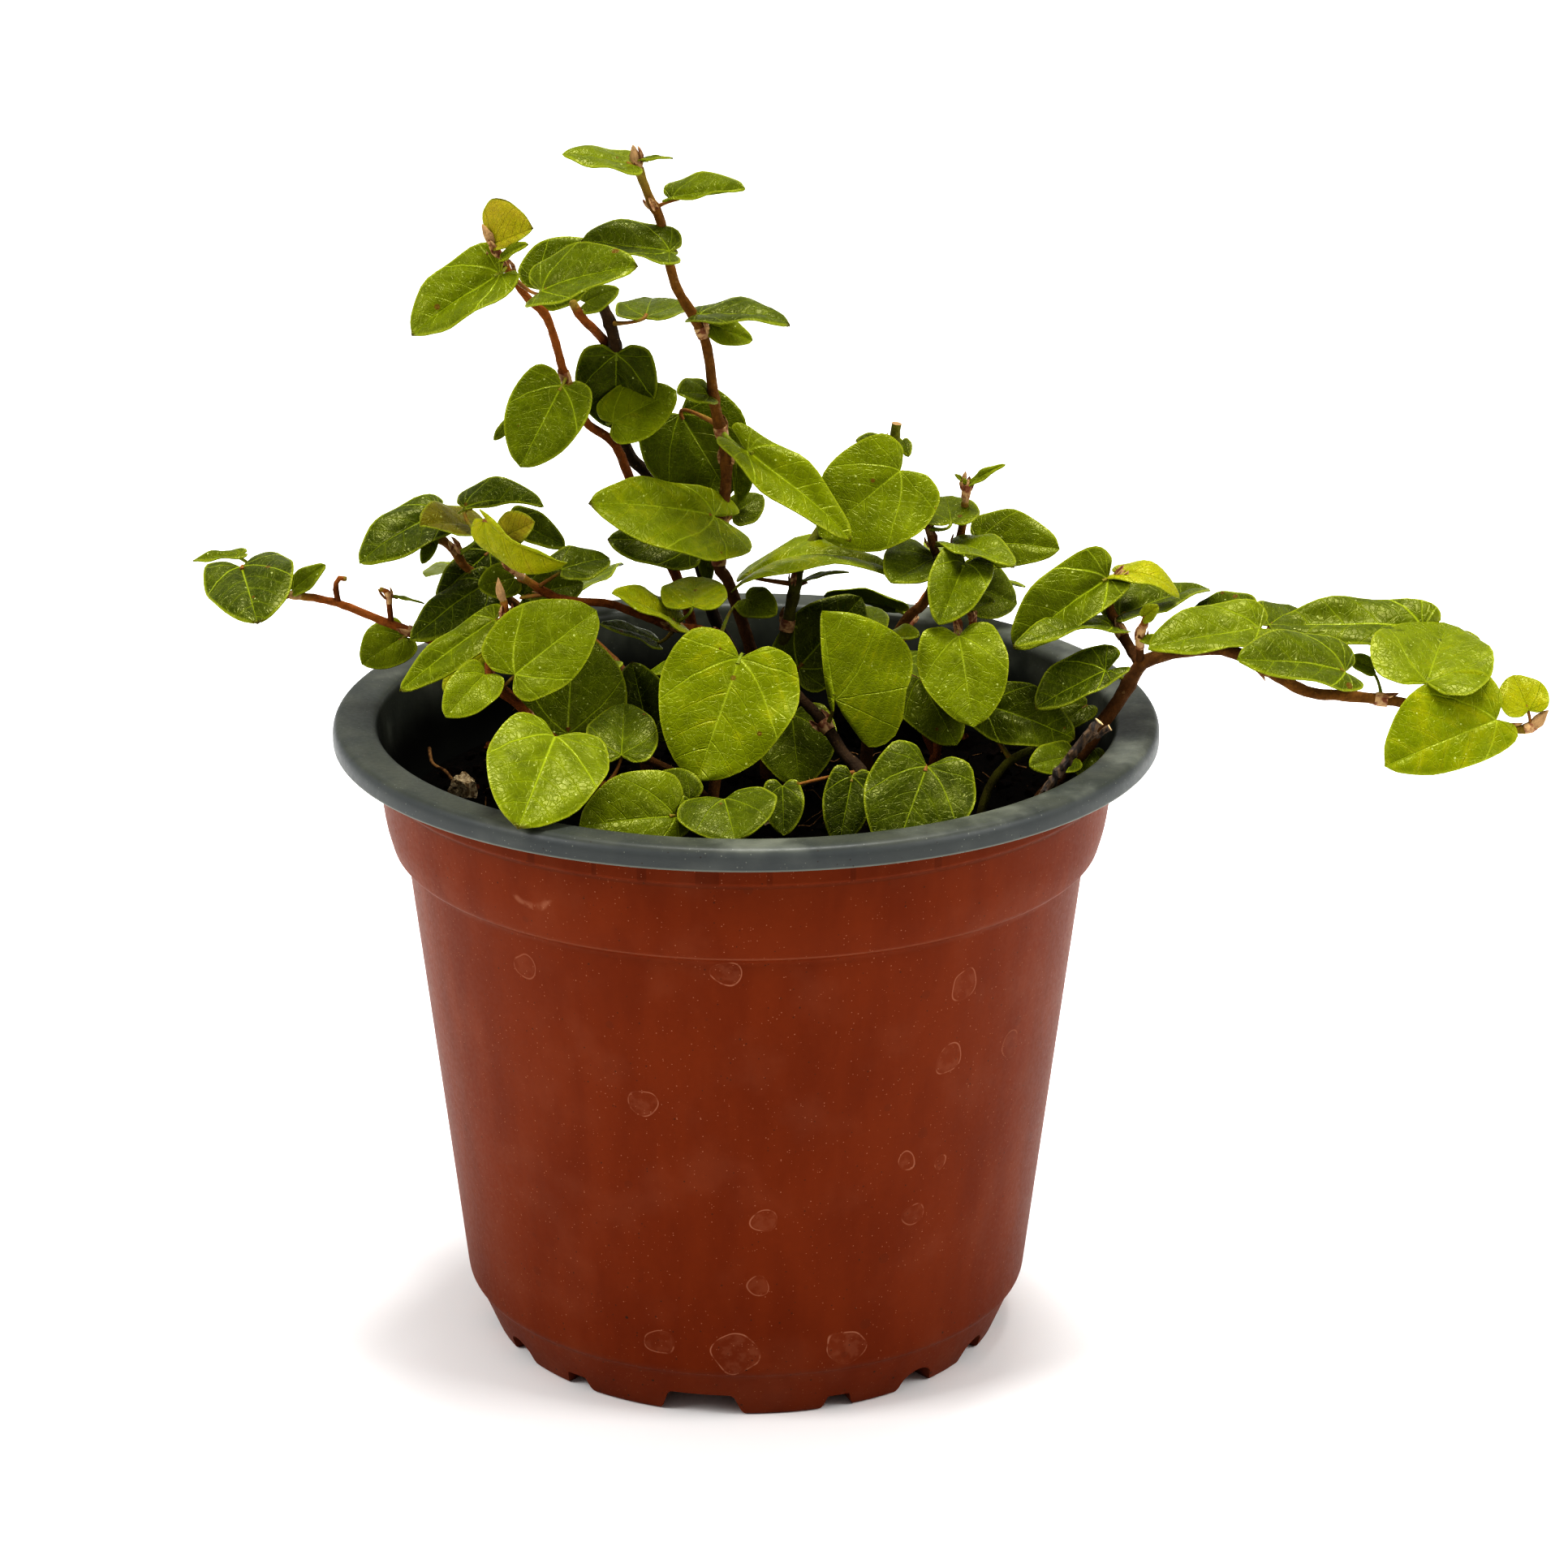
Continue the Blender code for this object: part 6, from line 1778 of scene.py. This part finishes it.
@dataclass(frozen=True)
class WoodFinish:
    """The dry twig: grey-brown bark, with pale wood where the ends were cut."""

    bark: tuple = (88, 68, 46)
    furrow: tuple = (42, 32, 24)
    wood: tuple = (204, 176, 128)

    def material(self, effects: Effects) -> bpy.types.Material:
        """Build the material."""
        sheet = MaterialSheet("dry_twig_wood", effects)
        grain = sheet.noise(sheet.vector("MULTIPLY", sheet.place, (1.0, 1.0, 0.35)), 1.5, 6.0)
        colour = sheet.mottled(sheet.mix(grain.span(0.40, 0.60), self.furrow, self.bark), 0.8, 0.5)
        colour = sheet.mix(sheet.value("tone").span(0.55, 0.95), colour, self.wood)
        rough = grain.span(0.3, 0.7, 0.70, 0.90)
        return sheet.finished({"Base Color": colour, "Roughness": rough}, grain, 0.35)


@dataclass(frozen=True)
class FloorFinish:
    """Pale seamless studio paper."""

    base: tuple = (244, 244, 243)

    def material(self, effects: Effects) -> bpy.types.Material:
        """Build the material."""
        sheet = MaterialSheet("studio_paper", effects)
        return sheet.finished({"Base Color": sheet.mottled(self.base, 0.02, 0.01), "Roughness": 0.9})


@dataclass
class Studio:
    """The pale floor, the soft lights and the camera of the reference picture."""

    floor_side: float = 8.0
    world_light: float = 0.5
    # Name, place, size, power and the height it points at, in metres and watts
    lamps: tuple = (
        ("left_softbox", (-1.15, -0.55, 1.0), 0.6, 11.0),
        ("right_softbox", (1.2, -0.45, 0.9), 0.6, 9.0),
        ("top_softbox", (0.1, 0.2, 1.45), 0.6, 22.0),
    )
    target: tuple = (0.0, 0.0, 0.07)

    def build(self, paper: bpy.types.Material) -> None:
        """Set up the floor, the world, the lamps and the camera."""
        self.add_floor(paper)
        world = bpy.data.worlds.new("studio_air")
        world.use_nodes = True
        sky = world.node_tree.nodes["Background"]
        sky.inputs["Color"].default_value = (1.0, 1.0, 1.0, 1.0)
        sky.inputs["Strength"].default_value = self.world_light
        bpy.context.scene.world = world
        for name, place, size, power in self.lamps:
            light = bpy.data.lights.new(name, "AREA")
            light.shape = "SQUARE"
            light.size = size
            light.energy = power
            lamp = bpy.data.objects.new(name, light)
            lamp.location = place
            aim = Vector(self.target) - Vector(place)
            lamp.rotation_euler = aim.to_track_quat("-Z", "Y").to_euler()
            bpy.context.scene.collection.objects.link(lamp)
        self.add_camera()
        settings = bpy.context.scene.view_settings
        settings.view_transform = "Standard"
        settings.look = "High Contrast"

    def add_floor(self, paper: bpy.types.Material) -> None:
        """Add the floor plane."""
        bm = bmesh.new()
        bmesh.ops.create_grid(bm, x_segments=1, y_segments=1, size=self.floor_side / 2)
        mesh = bpy.data.meshes.new("studio_floor")
        bm.to_mesh(mesh)
        bm.free()
        mesh.materials.append(paper)
        floor = bpy.data.objects.new("studio_floor", mesh)
        bpy.context.scene.collection.objects.link(floor)

    @staticmethod
    def add_camera() -> None:
        """Add the camera that frames the plant as the reference picture does."""
        data = bpy.data.cameras.new("picture_camera")
        data.sensor_width = SENSOR_MM
        data.lens = FOCAL_PIXELS / PICTURE_SIZE * SENSOR_MM
        data.shift_x = (PICTURE_SIZE / 2 - PRINCIPAL_POINT[0]) / PICTURE_SIZE
        data.shift_y = (PRINCIPAL_POINT[1] - PICTURE_SIZE / 2) / PICTURE_SIZE
        data.clip_start = 0.01
        camera = bpy.data.objects.new("picture_camera", data)
        camera.location = CAMERA_PLACE
        camera.rotation_euler = (math.radians(90.0 - CAMERA_PITCH), 0.0, 0.0)
        bpy.context.scene.collection.objects.link(camera)
        bpy.context.scene.camera = camera


def report(piece: bpy.types.Object) -> None:
    """Log a finished piece and its triangle count."""
    triangles = sum(len(face.vertices) - 2 for face in piece.data.polygons)
    LOG.info("%s: %d triangles", piece.name, triangles)


def main() -> None:
    """Build every piece in order, then the studio."""
    logging.basicConfig(level=logging.INFO, format="%(message)s")
    noise.seed_set(NOISE_SEED)
    effects = Effects()
    shell = PlasticFinish(
        "terracotta_plastic", (101, 42, 14), (94, 37, 11), (158, 112, 90), shine=0.08,
        gloss=(1.0, 0.78, 0.60, 1.0), nick_shade_share=0.22, ledge_share=0.22)
    liner = PlasticFinish(
        "grey_plastic", (62, 64, 56), (50, 53, 48), (124, 126, 114), roughness=0.40, shine=0.20,
        dust_and_sheen=0.40, flange_share=0.7, inner_dirt_and_shade_share=0.96)
    report(Pot().build(shell.material(effects), liner.material(effects)))
    # Damp dark soil with painted shade: the mix is darker than its own colour, for the shade it lies in
    # under the rim and the leaves
    earth_with_painted_shade = EarthFinish("potting_mix_and_painted_shade", (12, 8, 5), (3, 2, 1), (56, 36, 22))
    crumb = EarthFinish("soil_crumb", (20, 13, 9), (5, 3, 2), (70, 46, 28), relief=0.3)
    perlite = EarthFinish(
        "perlite", (178, 160, 128), (112, 92, 64), (206, 194, 170), grain=2.0, relief=0.3)
    flake = EarthFinish("bark_flake", (96, 54, 26), (48, 26, 12), (140, 96, 58), grain=1.5, relief=0.3)
    fibre = EarthFinish(
        "root_fibre", (112, 84, 52), (66, 46, 28), (150, 124, 88), grain=1.5, relief=0.1)
    soil = Soil()
    report(soil.build(earth_with_painted_shade.material(effects)))
    report(soil.scatter(
        "soil_crumbs", soil.crumbs, (0.35, 1.7), (1.0, 0.8, 0.7), crumb.material(effects), 11))
    report(soil.scatter(
        "perlite_grains", soil.grains, (0.5, 1.5), (1.0, 0.85, 0.7), perlite.material(effects), 23,
        soil.seen_lump))
    report(soil.scatter(
        "bark_flakes", soil.bark_bits, (0.9, 2.6), (1.0, 0.42, 0.22), flake.material(effects), 31))
    report(soil.add_roots(fibre.material(effects)))
    report(DryTwig().build(WoodFinish().material(effects)))
    finishes = (BladeFinish(), BarkFinish(), StalkFinish(), SheathFinish())
    looks = [finish.material(effects) for finish in finishes]
    for stem in PLANT:
        report(stem.build(looks))
    Studio().build(FloorFinish().material(effects))
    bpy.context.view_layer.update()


if __name__ == "__main__":
    main()
